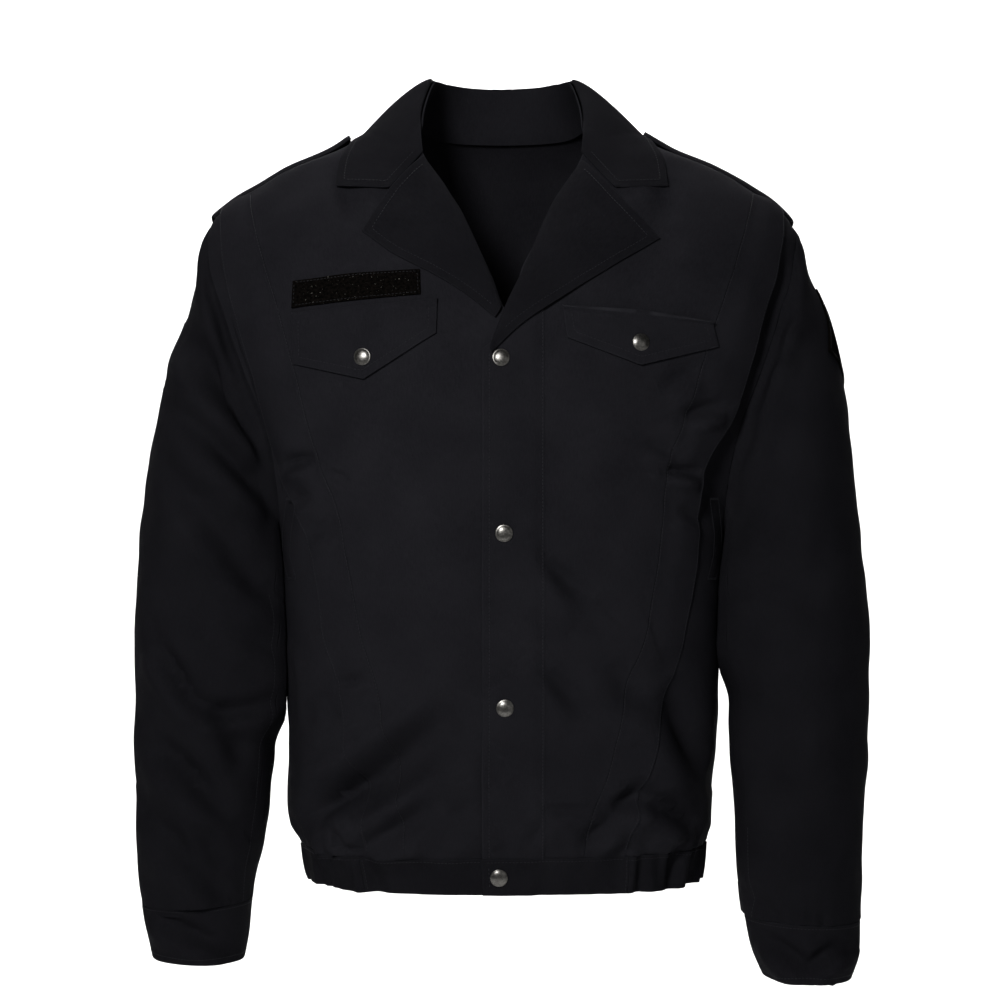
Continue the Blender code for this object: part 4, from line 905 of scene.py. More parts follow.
def sew(line, normals, pitch=STITCH_PITCH, length=STITCH_LENGTH, radius=STITCH_RADIUS, lift=0.0):
    """A row of stitches along a line that lies on the cloth."""
    long = np.concatenate([[0], np.cumsum(np.linalg.norm(np.diff(line, axis=0), axis=1))])
    count = int(long[-1] / pitch)
    if count < 2:
        return
    centre = (np.arange(count) + 0.5) * long[-1] / count

    def read(values, at):
        return np.stack([np.interp(at, long, values[:, k]) for k in range(3)], -1)

    out = read(normals, centre)
    out /= np.linalg.norm(out, axis=1, keepdims=True)
    ahead = read(line, centre + length / 2) - read(line, centre - length / 2)
    ahead /= np.linalg.norm(ahead, axis=1, keepdims=True) + 1e-12
    side = np.cross(out, ahead)
    for share, thick, up in ((-0.5, 0.35, -0.6), (-0.30, 1, 0.35), (0.30, 1, 0.35), (0.5, 0.35, -0.6)):
        middle = read(line, np.clip(centre + share * length, 0, long[-1])) + out * (up * radius + lift)
        ring = [
            middle + radius * thick * (side * np.cos(a) + out * np.sin(a))
            for a in np.arange(5) * 2 * pi / 5
        ]
        threads.append(np.stack(ring, 1))


def build_threads(name, finish):
    """One object from every row of stitches sewn so far."""
    blocks = [np.stack(threads[k : k + 4], 1) for k in range(0, len(threads), 4)]
    rings = np.concatenate(blocks)
    count = len(rings)
    base = (np.arange(count) * 20)[:, None]
    faces = []
    for r in range(3):
        for s in range(5):
            n = (s + 1) % 5
            faces.append(np.concatenate([base + 5 * r + s, base + 5 * r + n, base + 5 * r + 5 + n, base + 5 * r + 5 + s], 1))
    quads = np.concatenate(faces)
    ends = [list(range(k, k + 5))[::-1] for k in range(0, count * 20, 20)]
    ends += [list(range(k + 15, k + 20)) for k in range(0, count * 20, 20)]
    mesh = bpy.data.meshes.new(name)
    mesh.from_pydata(rings.reshape(-1, 3).tolist(), [], quads.tolist() + ends)
    mesh.shade_smooth()
    mesh.materials.append(finish)
    piece = bpy.data.objects.new(name, mesh)
    bpy.context.collection.objects.link(piece)
    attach(piece, "root")
    threads.clear()
    return piece


def node_tree(name, roughness, specular):
    """A new material with its default nodes, its shader's roughness and specular set, and a helper that adds linked
    nodes.
    """
    made_of = bpy.data.materials.new(name)
    made_of.use_nodes = True
    tree = made_of.node_tree
    shader = tree.nodes["Principled BSDF"]
    shader.inputs["Roughness"].default_value = roughness
    shader.inputs["Specular IOR Level"].default_value = specular

    def add(kind, links=None, **settings):
        node = tree.nodes.new(kind)
        for key, value in settings.items():
            if hasattr(node, key):
                setattr(node, key, value)
        for key, value in (links or {}).items():
            socket = node.inputs[key]
            if hasattr(value, "is_output"):
                tree.links.new(value, socket)
            else:
                socket.default_value = value
        return node

    return made_of, tree, shader, add


def ramp(add, fac, *stops):
    node = add("ShaderNodeValToRGB", {"Fac": fac})
    elements = node.color_ramp.elements
    while len(elements) < len(stops):
        elements.new(0.5)
    for element, (place, colour) in zip(elements, stops):
        element.position = place
        element.color = (*colour, 1) if len(colour) == 3 else colour
    return node.outputs["Color"]


TWILL_COLOURS = ((0.0066, 0.0065, 0.0080), (0.0116, 0.0114, 0.0136), (0.0140, 0.0140, 0.0165))


# painted highlight colour for the lit folded top edge of the left chest flap
WELT_HIGHLIGHT_COLOUR = (0.0175, 0.0175, 0.0205)


def twill_material(name, depth):
    """Near-black navy twill: fine diagonal ribs, slubs, faint fading, and dents along its seams. A depth below 1
    darkens all its colours as painted shade, and a highlight attribute paints a highlight on a welt.
    """
    made_of, tree, shader, add = node_tree(name, 0.88, 0.01)
    # depth below 1 scales every colour down as painted shade
    dark, light, rubbed = [tuple(depth * part for part in colour) for colour in TWILL_COLOURS]
    place = add("ShaderNodeTexCoord")
    lines = add("ShaderNodeMapping", {"Vector": place.outputs["UV"], "Rotation": (0, 0, radians(62))})
    ribs = add("ShaderNodeTexWave", {"Vector": lines.outputs["Vector"], "Scale": 392.0, "Distortion": 1.2,
                                     "Detail": 2.0, "Detail Scale": 3.0})
    warp = add("ShaderNodeTexWave", {"Vector": place.outputs["UV"], "Scale": 780.0, "Distortion": 0.8,
                                     "Detail": 1.0}, bands_direction="X")
    slub = add("ShaderNodeMapping", {"Vector": place.outputs["UV"], "Scale": (900.0, 160.0, 1.0)})
    slubs = add("ShaderNodeTexNoise", {"Vector": slub.outputs["Vector"], "Scale": 1.0, "Detail": 2.0})
    cloud = add("ShaderNodeTexNoise", {"Vector": place.outputs["Object"], "Scale": 22.0, "Detail": 3.0})
    fuzz = add("ShaderNodeTexNoise", {"Vector": place.outputs["Object"], "Scale": 900.0, "Detail": 2.0})
    tone = add("ShaderNodeMath", {0: slubs.outputs["Fac"], 1: fuzz.outputs["Fac"]}, operation="ADD")
    tone = add("ShaderNodeMath", {0: tone.outputs[0], 1: cloud.outputs["Fac"]}, operation="ADD")
    tone = add("ShaderNodeMath", {0: tone.outputs[0], 1: 1 / 3}, operation="MULTIPLY")
    colour = ramp(add, tone.outputs[0], (0.34, dark), (0.66, light))
    edge = add("ShaderNodeAttribute", attribute_name="edge")
    wear_and_painted_highlight = add("ShaderNodeMapRange", {"Value": edge.outputs["Fac"], "From Min": 0.0002, "From Max": 0.0016,
                                      "To Min": 0.40, "To Max": 0.0})
    mix = add("ShaderNodeMix", {"Factor": wear_and_painted_highlight.outputs["Result"], "A": colour,
                                "B": (*rubbed, 1)}, data_type="RGBA")
    # painted highlight: where a piece's highlight attribute is set, the colour turns lighter as if lit
    welt_highlight = add("ShaderNodeAttribute", attribute_name="welt_highlight")
    mix = add("ShaderNodeMix", {"Factor": welt_highlight.outputs["Fac"], "A": mix.outputs[2], "B": (*WELT_HIGHLIGHT_COLOUR, 1)},
              data_type="RGBA")
    tree.links.new(mix.outputs[2], shader.inputs["Base Color"])
    groove = add("ShaderNodeAttribute", attribute_name="groove")
    dent = add("ShaderNodeMapRange", {"Value": groove.outputs["Fac"], "From Min": 0.0, "From Max": 0.0012,
                                      "To Min": 0.0, "To Max": 1.0}, interpolation_type="SMOOTHSTEP")
    swell = add("ShaderNodeMapRange", {"Value": groove.outputs["Fac"], "From Min": 0.0012, "From Max": 0.006,
                                       "To Min": 1.0, "To Max": 0.55}, interpolation_type="SMOOTHSTEP")
    sewn = add("ShaderNodeMath", {0: dent.outputs["Result"], 1: swell.outputs["Result"]}, operation="MULTIPLY")
    bump = add("ShaderNodeBump", {"Height": sewn.outputs[0], "Distance": 0.0006, "Strength": 0.9})
    weave = add("ShaderNodeMath", {0: ribs.outputs["Fac"], 1: warp.outputs["Fac"]}, operation="ADD")
    weave = add("ShaderNodeMath", {0: weave.outputs[0], 1: slubs.outputs["Fac"]}, operation="ADD")
    bump = add("ShaderNodeBump", {"Height": weave.outputs[0], "Distance": 0.00010, "Strength": 0.7,
                                  "Normal": bump.outputs["Normal"]})
    bump = add("ShaderNodeBump", {"Height": fuzz.outputs["Fac"], "Distance": 0.00025, "Strength": 0.35,
                                  "Normal": bump.outputs["Normal"]})
    tree.links.new(bump.outputs["Normal"], shader.inputs["Normal"])
    return made_of


def tape_material():
    """Black hook-and-loop: a dense nap with brown tips and a little lint."""
    made_of, tree, shader, add = node_tree("nap", 0.95, 0.0)
    place = add("ShaderNodeTexCoord")
    nap = add("ShaderNodeTexVoronoi", {"Vector": place.outputs["UV"], "Scale": 900.0})
    noise = add("ShaderNodeTexNoise", {"Vector": place.outputs["UV"], "Scale": 420.0, "Detail": 4.0})
    colour = ramp(add, noise.outputs["Fac"], (0.35, (0.0010, 0.0009, 0.0008)), (0.72, (0.0040, 0.0033, 0.0029)))
    lint = add("ShaderNodeTexNoise", {"Vector": place.outputs["UV"], "Scale": 620.0, "Detail": 3.0})
    spots = add("ShaderNodeMapRange", {"Value": lint.outputs["Fac"], "From Min": 0.70, "From Max": 0.725})
    mix = add("ShaderNodeMix", {"Factor": spots.outputs["Result"], "A": colour, "B": (0.22, 0.21, 0.19, 1)},
              data_type="RGBA")
    tree.links.new(mix.outputs[2], shader.inputs["Base Color"])
    bump = add("ShaderNodeBump", {"Height": nap.outputs["Distance"], "Distance": 0.0007, "Strength": 0.9})
    bump = add("ShaderNodeBump", {"Height": noise.outputs["Fac"], "Distance": 0.0008, "Strength": 0.8,
                                  "Normal": bump.outputs["Normal"]})
    tree.links.new(bump.outputs["Normal"], shader.inputs["Normal"])
    return made_of


def metal_material():
    """Dark pewter plating, a little uneven and rubbed."""
    made_of, tree, shader, add = node_tree("pewter", 0.3, 0.5)
    shader.inputs["Metallic"].default_value = 1.0
    place = add("ShaderNodeTexCoord")
    noise = add("ShaderNodeTexNoise", {"Vector": place.outputs["Object"], "Scale": 700.0, "Detail": 4.0})
    colour = ramp(add, noise.outputs["Fac"], (0.3, (0.075, 0.072, 0.068)), (0.7, (0.15, 0.145, 0.135)))
    tree.links.new(colour, shader.inputs["Base Color"])
    rough = add("ShaderNodeMapRange", {"Value": noise.outputs["Fac"], "To Min": 0.22, "To Max": 0.42})
    tree.links.new(rough.outputs["Result"], shader.inputs["Roughness"])
    return made_of


def thread_material():
    made_of, tree, shader, add = node_tree("thread", 0.6, 0.15)
    place = add("ShaderNodeTexCoord")
    noise = add("ShaderNodeTexNoise", {"Vector": place.outputs["Object"], "Scale": 1500.0, "Detail": 2.0})
    colour = ramp(add, noise.outputs["Fac"], (0.3, (0.007, 0.007, 0.009)), (0.7, (0.014, 0.014, 0.017)))
    tree.links.new(colour, shader.inputs["Base Color"])
    return made_of


twill, tape, metal, thread = twill_material("twill_cloth", 1.0), tape_material(), metal_material(), thread_material()
shaded_arm_twill = twill_material("twill_sleeves_painted_shade", 0.72)  # painted shade: the sleeves' colours are scaled down to stand in for the shade they turn into
# painted shade: the lapels, collar, waistband and straps get the twill with its colours scaled down, standing in for
# shade
shaded_lay_twill = twill_material("twill_lapels_painted_shade", 0.68)


def make_front(side):
    """A front from its inner edge to its pleat's folded edge, which stands over the side panel."""
    sign = 1 if side == "left" else -1
    t = fine(236, 0.62)
    low = BAND_TOP - TUCK
    heights = [low + (top - low) * t for top in (NECK_SIDE, STITCH_TOP, FOLD_TOP)]
    outs = [
        smooth(EDGES, side, heights[0]),
        smooth(PLEATS, side + "_stitch", heights[1]),
        smooth(PLEATS, side + "_fold", heights[2]),
    ]
    edge, stitch, fold = [
        np.stack([turn_at(sign * out, z), z], -1) for out, z in zip(outs, heights)
    ]
    edge[-1, 0] = stitch[-1, 0] = fold[-1, 0] = sign * (pi / 2 - SEAM_GAP / 0.04)
    first = fine(58, 0.15)[:-2]
    second = fine(20, 0.05)[3:]
    columns = [edge + (stitch - edge) * f for f in first]
    columns += [stitch + (fold - stitch) * f for f in np.append(0.06, second)]
    rise = np.concatenate([0 * first, smoothstep(np.append(0.06, second) / 0.5)]) * PLEAT_RISE
    places = np.stack(columns, 1)
    height = places[..., 1]
    flatter = 1 - 0.6 * smoothstep((-0.36 - height) / 0.08)
    points = skin(places[..., 0], height, rise[None, :] * flatter + tucked(BAND_TOP + 0.001 - height))
    line = points[:, len(first) - 1]
    part = cloth("front_" + side, points, axis_of(points), WALL, twill, seams=[line])
    sew(line[10:-4], part["normal"][10:-4, len(first) - 1])
    line, out = contour(part, "end", 0.0018)
    sew(line[4:], out[4:], radius=FINE_STITCH)
    return part


def axis_of(grid):
    """The torso's axis at each point's height, which its panels face away from."""
    middle = np.zeros_like(grid)
    middle[..., 2] = np.minimum(grid[..., 2], -0.12)
    return middle


def armhole_side(front, count_low, count_high):
    """Places up the left side seam, then up one half of the armhole to the shoulder."""
    bit = SEAM_GAP / 0.2 * (-1 if front else 1)
    low = np.linspace(BAND_TOP - TUCK, ARMHOLE_FOOT - 0.004, count_low)
    lap = SIDE_LAP / 0.2 * (1 if front else -1)
    seam = np.stack([np.full_like(low, pi / 2 + lap), low], -1)
    theta = np.linspace(pi, 0.0, count_high + 1)[1:] * (1 if front else -1)
    hole = armhole(theta, -SEAM_GAP)
    hole[-1] = (pi / 2 + bit, ARMHOLE_TOP + 0.0008)
    return np.concatenate([seam, hole])


def make_side(side):
    """The panel under a pleat, round to the side seam and up the front of the armhole."""
    sign = 1 if side == "left" else -1
    outer = armhole_side(True, 96, 110)
    t = np.linspace(0, 1, len(outer))
    z = np.interp(t, (0, 1), (BAND_TOP - TUCK, SIDE_TOP))
    under = smooth(PLEATS, side + "_fold", np.minimum(z, FOLD_TOP)) - PLEAT_UNDER
    inner = np.stack([turn_at(under, z), z], -1)
    inner[-1, 0] = outer[-1, 0]
    shares = fine(34, 0.09)
    places = np.stack([inner + (outer - inner) * f for f in shares], 1)
    height = places[..., 1]
    valley = smoothstep((height + 0.36) / 0.06) * smoothstep((-0.08 - height) / 0.05)
    valley = valley * (0.4 + 0.6 * np.sin(pi * np.clip(shares, 0, 1)))[None, :]
    lift = tucked(BAND_TOP + 0.001 - height) - VALLEY * valley * (1 - shares[None, :] ** 8)
    points = skin(sign * places[..., 0], height, lift)
    slit = seen(sign * POCKET["out"], POCKET["z"])
    mouth = dense(slit)
    part = cloth("side_" + side, points, axis_of(points), WALL, twill, seams=[mouth])
    for shift in (-0.0042, 0.0042):
        line = seen(sign * POCKET["out"] + shift, POCKET["z"], 0.0002)
        sew(dense(line, 0.004), away(dense(line, 0.004))[0], radius=FINE_STITCH)
    for k in (0, -1):
        for row in np.linspace(-0.0008, 0.0008, 4):
            ends = sign * POCKET["out"][k] + np.array([-0.0042, 0.0042])
            tack = seen(np.linspace(*ends, 6), POCKET["z"][k] + row + 0 * np.arange(6), 0.0003)
            sew(tack, away(tack)[0], pitch=0.0012, length=0.0012, radius=0.00018)
    return part


def make_back():
    """The back, from side seam to side seam, with both armholes and the neck edge."""
    side = armhole_side(False, 88, 100)
    low = side[0, 1]
    t = (side[:, 1] - low) / (side[-1, 1] - low)
    blade_z = low + (NECK_SIDE - low) * t
    blade_x = BACK_BLADE + (BACK_NECK["x"][-1] - BACK_BLADE) * t
    blade = np.stack([pi - turn_at(blade_x, blade_z), blade_z], -1)
    blade[-1, 0] = side[-1, 0]
    half = [side + (blade - side) * f for f in fine(46, 0.16)[:-2]]
    for f in np.linspace(0, 1, 30)[1:]:
        z = spline(BACK_NECK["x"], BACK_NECK["z"], BACK_NECK["x"][-1] * (1 - f))
        column_z = low + (z - low) * t
        half.append(np.stack([pi - turn_at(blade_x * (1 - f), column_z), column_z], -1))
    places = np.stack(half + [c * (-1, 1) + (2 * pi, 0) for c in half[-2::-1]], 1)
    points = skin(places[..., 0], places[..., 1], tucked(BAND_TOP + 0.001 - places[..., 1]))
    return cloth("back", points, axis_of(points), WALL, twill)


def sleeve_places(rows, sign, back):
    """A function from what is seen at x, z to the sleeve's own point there."""
    at, theta = np.meshgrid(np.linspace(0, 1, 150), np.linspace(0, pi, 70) + (pi if back else 0))
    points = (sleeve_form(rows, at, theta) * (sign, 1, 1)).reshape(-1, 3)
    tree = kdtree.KDTree(len(points))
    for k, point in enumerate(points):
        tree.insert((point[0], 0, point[2]), k)
    tree.balance()

    def place(x, z):
        return np.array([points[tree.find((a, 0, b))[1]] for a, b in zip(x, z)])

    return place


def make_sleeve(side, rows, front_creases, back_creases):
    sign = 1 if side == "left" else -1
    at = fine(176, 0.56)[:, None]
    theta = np.linspace(0, 2 * pi, 150, endpoint=False)[None, :]
    at, theta = np.broadcast_arrays(at, theta)
    grid = sleeve_form(rows, at, theta) * (sign, 1, 1)
    normal = normals_of(grid, np.broadcast_to(grid.mean(1, keepdims=True), grid.shape), True)[0]
    creases = traced(front_creases, sleeve_places(rows, sign, False), 1.0)
    creases += traced(back_creases, sleeve_places(rows, sign, True), 1.3)
    rise = relief(grid, normal, creases) * np.clip(at * 14 - 0.2, 0, 1)
    rise += 0.0012 * waves(grid, 0.09, 11 + sign) * np.clip(at * 5, 0, 1)
    rise += 0.0004 * waves(grid, 0.03, 14 + sign)
    pucker = np.exp(-at * 40) + np.exp(-(1 - at) * 30)
    rise += 0.0007 * pucker * np.sin(theta * 31 + 3 * np.sin(theta * 3)) * waves(grid, 0.05, 17)
    grid = (grid + normal * rise[..., None]) * (sign, 1, 1)
    height, low = grid[..., 2], LEAN_END[side]
    lean = smoothstep((-0.31 - height) / 0.07) * smoothstep((height - low) / 0.05)
    lean = lean * np.exp(-(((theta - radians(162)) / radians(40)) ** 2))
    grid = grid - np.stack([0.015 * lean, 0.004 * lean, 0 * lean], -1)
    grid = clear(grid, SLEEVE_GAP * smoothstep(at / 0.05) - HEAD_SINK * (1 - smoothstep(at / 0.05)))
    grid = grid - away(grid)[0] * (HEAD_SINK * np.clip(1 - at / 0.012, 0, 1))[..., None]
    around = theta[:1]
    head = []
    for inset, depth in ((-0.0060, TUCK_DEPTH), (-0.0034, TUCK_DEPTH), (-0.0010, TUCK_DEPTH)):
        hole = armhole(np.where(around > pi, around - 2 * pi, around), inset)
        head.append(skin(hole[..., 0], hole[..., 1], -depth))
    cuff = RIGHT_CUFF if side == "right" else LEFT_CUFF
    tail = []
    for part_way in (0.035, 0.09, 0.15):
        ring = ring_point(cuff, part_way + 0 * around, around)
        arm = ring - ring.mean(1, keepdims=True)
        tail.append(ring - arm / np.linalg.norm(arm, axis=-1, keepdims=True) * TUCK_DEPTH)
    grid = np.concatenate(head + [grid] + tail) * (sign, 1, 1)
    middle = np.broadcast_to(grid.mean(1, keepdims=True), grid.shape)
    run = np.clip((np.arange(len(grid)) / len(grid) - 0.3) / 0.7, 0, 1)
    place = (SLEEVE_SEAM[0] + (SLEEVE_SEAM[1] - SLEEVE_SEAM[0]) * run) / (2 * pi) * grid.shape[1]
    k, f = place.astype(int), (place % 1)[:, None]
    rows_at = np.arange(len(grid))
    seam = (grid[rows_at, k] * (1 - f) + grid[rows_at, k + 1] * f)[3:-3]
    part = cloth("sleeve_" + side, grid, middle, WALL, shaded_arm_twill, closed=True, seams=[seam])
    beside = (grid[rows_at, k - 2] * (1 - f) + grid[rows_at, k - 1] * f)[4:-4]
    low = len(beside) * (2 if side == "right" else 4) // 5
    sew(beside[low:], (part["normal"][rows_at, k])[4:-4][low:], radius=FINE_STITCH)
    return part


def make_cuff(side, rows, creases):
    sign = 1 if side == "left" else -1
    at, theta = np.broadcast_arrays(fine(22, 0.048)[:, None], np.linspace(0, 2 * pi, 150, endpoint=False)[None, :])
    grid = ring_point(rows, at, theta) * (sign, 1, 1)
    middle = np.broadcast_to(grid.mean(1, keepdims=True), grid.shape)
    normal = normals_of(grid, middle, True)[0]

    def place(x, z):
        flat = grid[:, :75].reshape(-1, 3)
        return np.array([flat[np.argmin((flat[:, 0] - a) ** 2 + (flat[:, 2] - b) ** 2)] for a, b in zip(x, z)])

    rise = relief(grid, normal, traced(creases, place, 1.0)) + 0.0006 * waves(grid, 0.05, 21 + sign)
    part = cloth("cuff_" + side, grid + normal * rise[..., None], middle, WALL, shaded_arm_twill, closed=True)
    for where, distance in (("low", 0.0030), ("high", 0.0060)):
        line, out = contour(part, where, distance)
        sew(np.concatenate([line, line[:1]]), np.concatenate([out, out[:1]]), radius=FINE_STITCH)
    return part


def make_band():
    """The waistband: two plain tabs that lap at the front, and the gathered sides and back."""
    height = BAND_TOP - SEAM_GAP - BAND_HEM

    def place(turns, lift, rows=14):
        turn, z = np.meshgrid(turns, BAND_TOP - SEAM_GAP - height * fine(rows, height))
        return skin(turn, z, lift)

    right_end, left_end = turn_at(-0.1180, -0.64), turn_at(0.1070, -0.64)
    gap = SEAM_GAP / 0.18
    start, stop = right_end + gap, turn_at(CENTRE_LAP, -0.64)
    grid = place(start + (stop - start) * fine(60, 0.13), 0)
    parts = [cloth("band_right", grid, axis_of(grid), WALL, shaded_lay_twill)]
    start, stop = turn_at(PLACKET_OUTER, -0.64), left_end - gap
    turns = start + (stop - start) * fine(60, 0.125)
    over = form(turns, -0.64 + 0 * turns)[:, 0]
    rise = (1 - smoothstep((over - BAND_LAP_END) / 0.012)) * (WALL + LAY_GAP)
    grid = place(turns, rise[None, :])
    parts.append(cloth("band_left", grid, axis_of(grid), WALL, shaded_lay_twill))
    start, stop = left_end + gap, right_end + 2 * pi - gap
    under = TUCK / 0.18
    turns = np.concatenate([
        start - under * np.array([1, 0.7, 0.4, 0.2]), start + (stop - start) * fine(760, 0.84),
        stop + under * np.array([0.2, 0.4, 0.7, 1]),
    ])
    beyond = np.maximum(np.maximum(start - turns, turns - stop), 0) * 0.18
    phase = np.clip((turns - start) / (stop - start), 0, 1)
    wander = 2.2 * np.sin(2 * pi * 5.3 * phase) + 1.3 * np.sin(2 * pi * 11.7 * phase + 1)
    wave = np.sin(2 * pi * GATHERS * phase + wander)
    wave = np.sign(wave) * np.abs(wave) ** 0.8 * (0.75 + 0.35 * np.sin(2 * pi * 7.1 * phase + 2))
    wave = wave * smoothstep(np.minimum(turns - start, stop - turns) * 0.18 / 0.014)
    deep = np.sin(pi * np.clip(fine(14, height), 0.08, 0.92))[:, None] ** 0.5
    grid = place(turns, wave[None, :] * deep * 1.5 * GATHER_DEPTH - TUCK_DEPTH * smoothstep(beyond / 0.0014)[None, :])
    parts.append(cloth("band_back", grid, axis_of(grid), WALL, shaded_lay_twill))
    for part in parts:
        sew(*contour(part, "low", 0.0030), radius=FINE_STITCH)
    sew(*contour(parts[0], "start", 0.0020), radius=FINE_STITCH)
    sew(*contour(parts[1], "end", 0.0020), radius=FINE_STITCH)
    sew(*contour(parts[1], "start", 0.0062))
    return parts


def make_placket():
    """The left front's folded edge, which carries the snaps over the right front."""
    across = fine(26, 0.053)[None, :]
    x = PLACKET_OUTER + (PLACKET_STITCH - PLACKET_OUTER) * across
    low, high = BAND_TOP - 0.005, PLACKET_TOP + (x - PLACKET_OUTER) * PLACKET_SLOPE
    z = low + (high - low) * fine(200, 0.43)[:, None]
    x, z = np.broadcast_arrays(x, z)
    flat = smoothstep((across - 0.80) / 0.2) + 0 * z
    thickness = LAY_WALL * (1 - 0.85 * flat)
    behind = 0.0022 * smoothstep((BAND_TOP + 0.001 - z) / 0.003)
    points = seen(x, z, LAY_GAP + LAY_WALL - 0.95 * flat * LAY_WALL - behind)
    part = cloth("placket", points, axis_of(points), thickness, twill)
    return part


def make_lying(name, rows, columns, steps, finish, lift, free_low):
    """A flap or tape that lies on a front, from the table of its top and bottom edges."""
    u = fine(columns, 0.125)
    at = np.linspace(0, 1, len(rows["top_x"]))
    top = np.stack([np.interp(u, at, rows["top_x"]), np.interp(u, at, rows["top_z"])], -1)
    low = np.stack([np.interp(u, at, rows["low_x"]), np.interp(u, at, rows["low_z"])], -1)
    v = fine(steps, 0.045)[:, None]
    places = low[None] + (top - low)[None] * v[..., None]
    rise = lift + free_low * (1 - v) ** 1.5 * (0.55 + 0.45 * np.cos(2 * pi * (u[None, :] - 0.5)))
    rise = rise + 0.0004 * np.sin(pi * u)[None, :] * np.sin(pi * v)
    if free_low:
        welt = 0.0012 if name == "flap_right" else 0.0034
        rise = rise + welt * np.exp(-(((v - 0.92) / 0.05) ** 2)) * (0.7 + 0.3 * np.cos(2 * pi * u[None, :]))
    points = seen(places[..., 0], places[..., 1], rise)
    part = cloth(name, points, axis_of(points), LAY_WALL, finish)
    if name == "flap_left":  # painted highlight along its folded top edge, where light catches it
        mesh = part["piece"].data
        welt_highlight = np.zeros(len(mesh.vertices))
        wear_and_painted_highlight = smoothstep((v - 0.895) / 0.03) * smoothstep((abs(u[None, :] - 0.53) - 0.03) / 0.05)
        welt_highlight[: wear_and_painted_highlight.size] = (wear_and_painted_highlight * (0.75 + 0.25 * np.cos(7 * pi * u[None, :]))).ravel()
        mesh.attributes.new("welt_highlight", "FLOAT", "POINT").data.foreach_set("value", welt_highlight)
    return part


def make_lapel(name, rows, notch, base):
    """A lapel from the roll line to its free edge, over the front that it is part of."""
    roll = lambda t: along(rows, ("roll_x", "roll_z"), t)
    edge = lambda t: along(rows, ("edge_x", "edge_z"), t)
    ends = [(f(np.array([0.0]))[0], f(np.array([1.0]))[0]) for f in (roll, edge)]
    low = broken(ends[0][0], ends[1][0])
    high = broken(ends[0][1], notch, ends[1][1])
    up, v = fine(90, 0.17)[:, None], fine(64, 0.09)[None, :]
    places = patch_at(low, high, roll, edge, up, v)
    lift = base(up) + LAY_WALL + roll_rise(v + 0 * up, LAPEL_ROLL * (0.4 + 0.6 * up))
    points = seen(places[..., 0], places[..., 1] - 0.0008, lift)
    return cloth(name, points, axis_of(points), LAY_WALL, shaded_lay_twill)


def patch_at(low, high, start, end, v, u):
    """The grid between four edges at given places: v along start and end, u along low and high."""
    flat_u, flat_v = u[0], v[:, 0]
    u, v = u[..., None], v[..., None]
    bottom, top = low(flat_u)[None], high(flat_u)[None]
    left, right = start(flat_v)[:, None], end(flat_v)[:, None]
    corners = (1 - u) * (1 - v) * bottom[:, :1] + u * (1 - v) * bottom[:, -1:]
    corners = corners + (1 - u) * v * top[:, :1] + u * v * top[:, -1:]
    return (1 - v) * bottom + v * top + (1 - u) * left + u * right - corners


def roll_rise(v, height):
    """How a rolled cloth stands off: steep at its fold, gone at its free edge."""
    return height * np.sin(pi * np.clip(v, 0, 1) ** 0.55)


def collar_lines(at):
    """The collar's fold line and outer edge, at places from -1, the right end, to 1, the left."""
    side = np.sign(at)[:, None]
    fold = along(COLLAR, ("fold_x", "fold_y", "fold_z"), np.abs(at))
    edge = along(COLLAR, ("edge_x", "edge_y", "edge_z"), np.abs(at))
    flip = np.concatenate([side, np.ones_like(side), np.ones_like(side)], 1)
    return fold * flip, edge * flip


def make_collar():
    """The turned-down leaf, from its fold round the neck to its outer edge on the shoulders."""
    at, v = 2 * fine(210, 0.62) - 1, fine(40, 0.085)[:, None]
    fold, edge = collar_lines(at)
    points = fold[None] + (edge - fold)[None] * v[..., None]
    out, up = GORGE_NOTCH
    for sign, last in ((-1, 0), (1, -1)):
        notch = on_front(np.array([sign * out]), np.array([up]), np.array([LAY_WALL + LAY_GAP]))[0]
        bend = broken(points[0, last], notch, points[-1, last])(v[:, 0]) - points[:, last]
        near = np.clip(sign * at, 0, 1) ** 8
        points = points + bend[:, None] * near[None, :, None]
    middle = 1 - np.abs(at)[None, :] ** 4
    rise = roll_rise(v, COLLAR_ROLL * (0.25 + 0.75 * middle)) + 0.0006 * waves(points, 0.06, 31)
    direction = away(points)[0] * 0.6 + np.array([0, 0, 0.4])
    points = clear(points + direction * rise[..., None], LAY_WALL + LAY_GAP)
    return cloth("collar", points, points - away(points)[0], LAY_WALL, shaded_lay_twill)


def make_stand():
    """The band that stands up from the neck seam inside the collar."""
    at = STAND_REACH * (2 * fine(130, 0.5) - 1)
    fold, _ = collar_lines(at)
    side = np.clip(np.abs(at) / 0.5, 0, 1)
    front = np.clip(np.abs(at) / 0.5 - 1, 0, 1)
    x = side * BACK_NECK["x"][-1]
    back_z = spline(BACK_NECK["x"], BACK_NECK["z"], x)
    front_z = NECK_SIDE - front * STAND_DROP
    behind = form(pi - turn_at(x, back_z), back_z)
    ahead = form(turn_at(smooth(EDGES, "right", front_z), front_z), front_z)
    foot = np.where(front[:, None] > 0, ahead, behind)
    foot[:, 0] *= np.sign(at)
    foot = foot * (STAND_INSET, STAND_INSET, 1) - (0, 0, 0.004)
    lean = 0.0006 * waves(fold, 0.06, 31)[..., None] * (away(fold)[0] * 0.6 + (0, 0, 0.4))
    top = (fold + lean) * (0.985, 0.985, 1) - (0, 0, 0.0002)
    points = foot[None] + (top - foot)[None] * fine(12, 0.035)[:, None, None]
    return cloth("collar_stand", points, points * (0, 0, 1), WALL, twill)


def shoulder_height(x, y):
    """The form's height over a place on the shoulder, found by halving."""
    low, high = np.full(x.shape, -0.25), np.full(x.shape, 0.04)
    for _ in range(26):
        mid = (low + high) / 2
        inside = reach(np.stack([x, y, mid], -1)) < 1
        low, high = np.where(inside, mid, low), np.where(inside, high, mid)
    return low


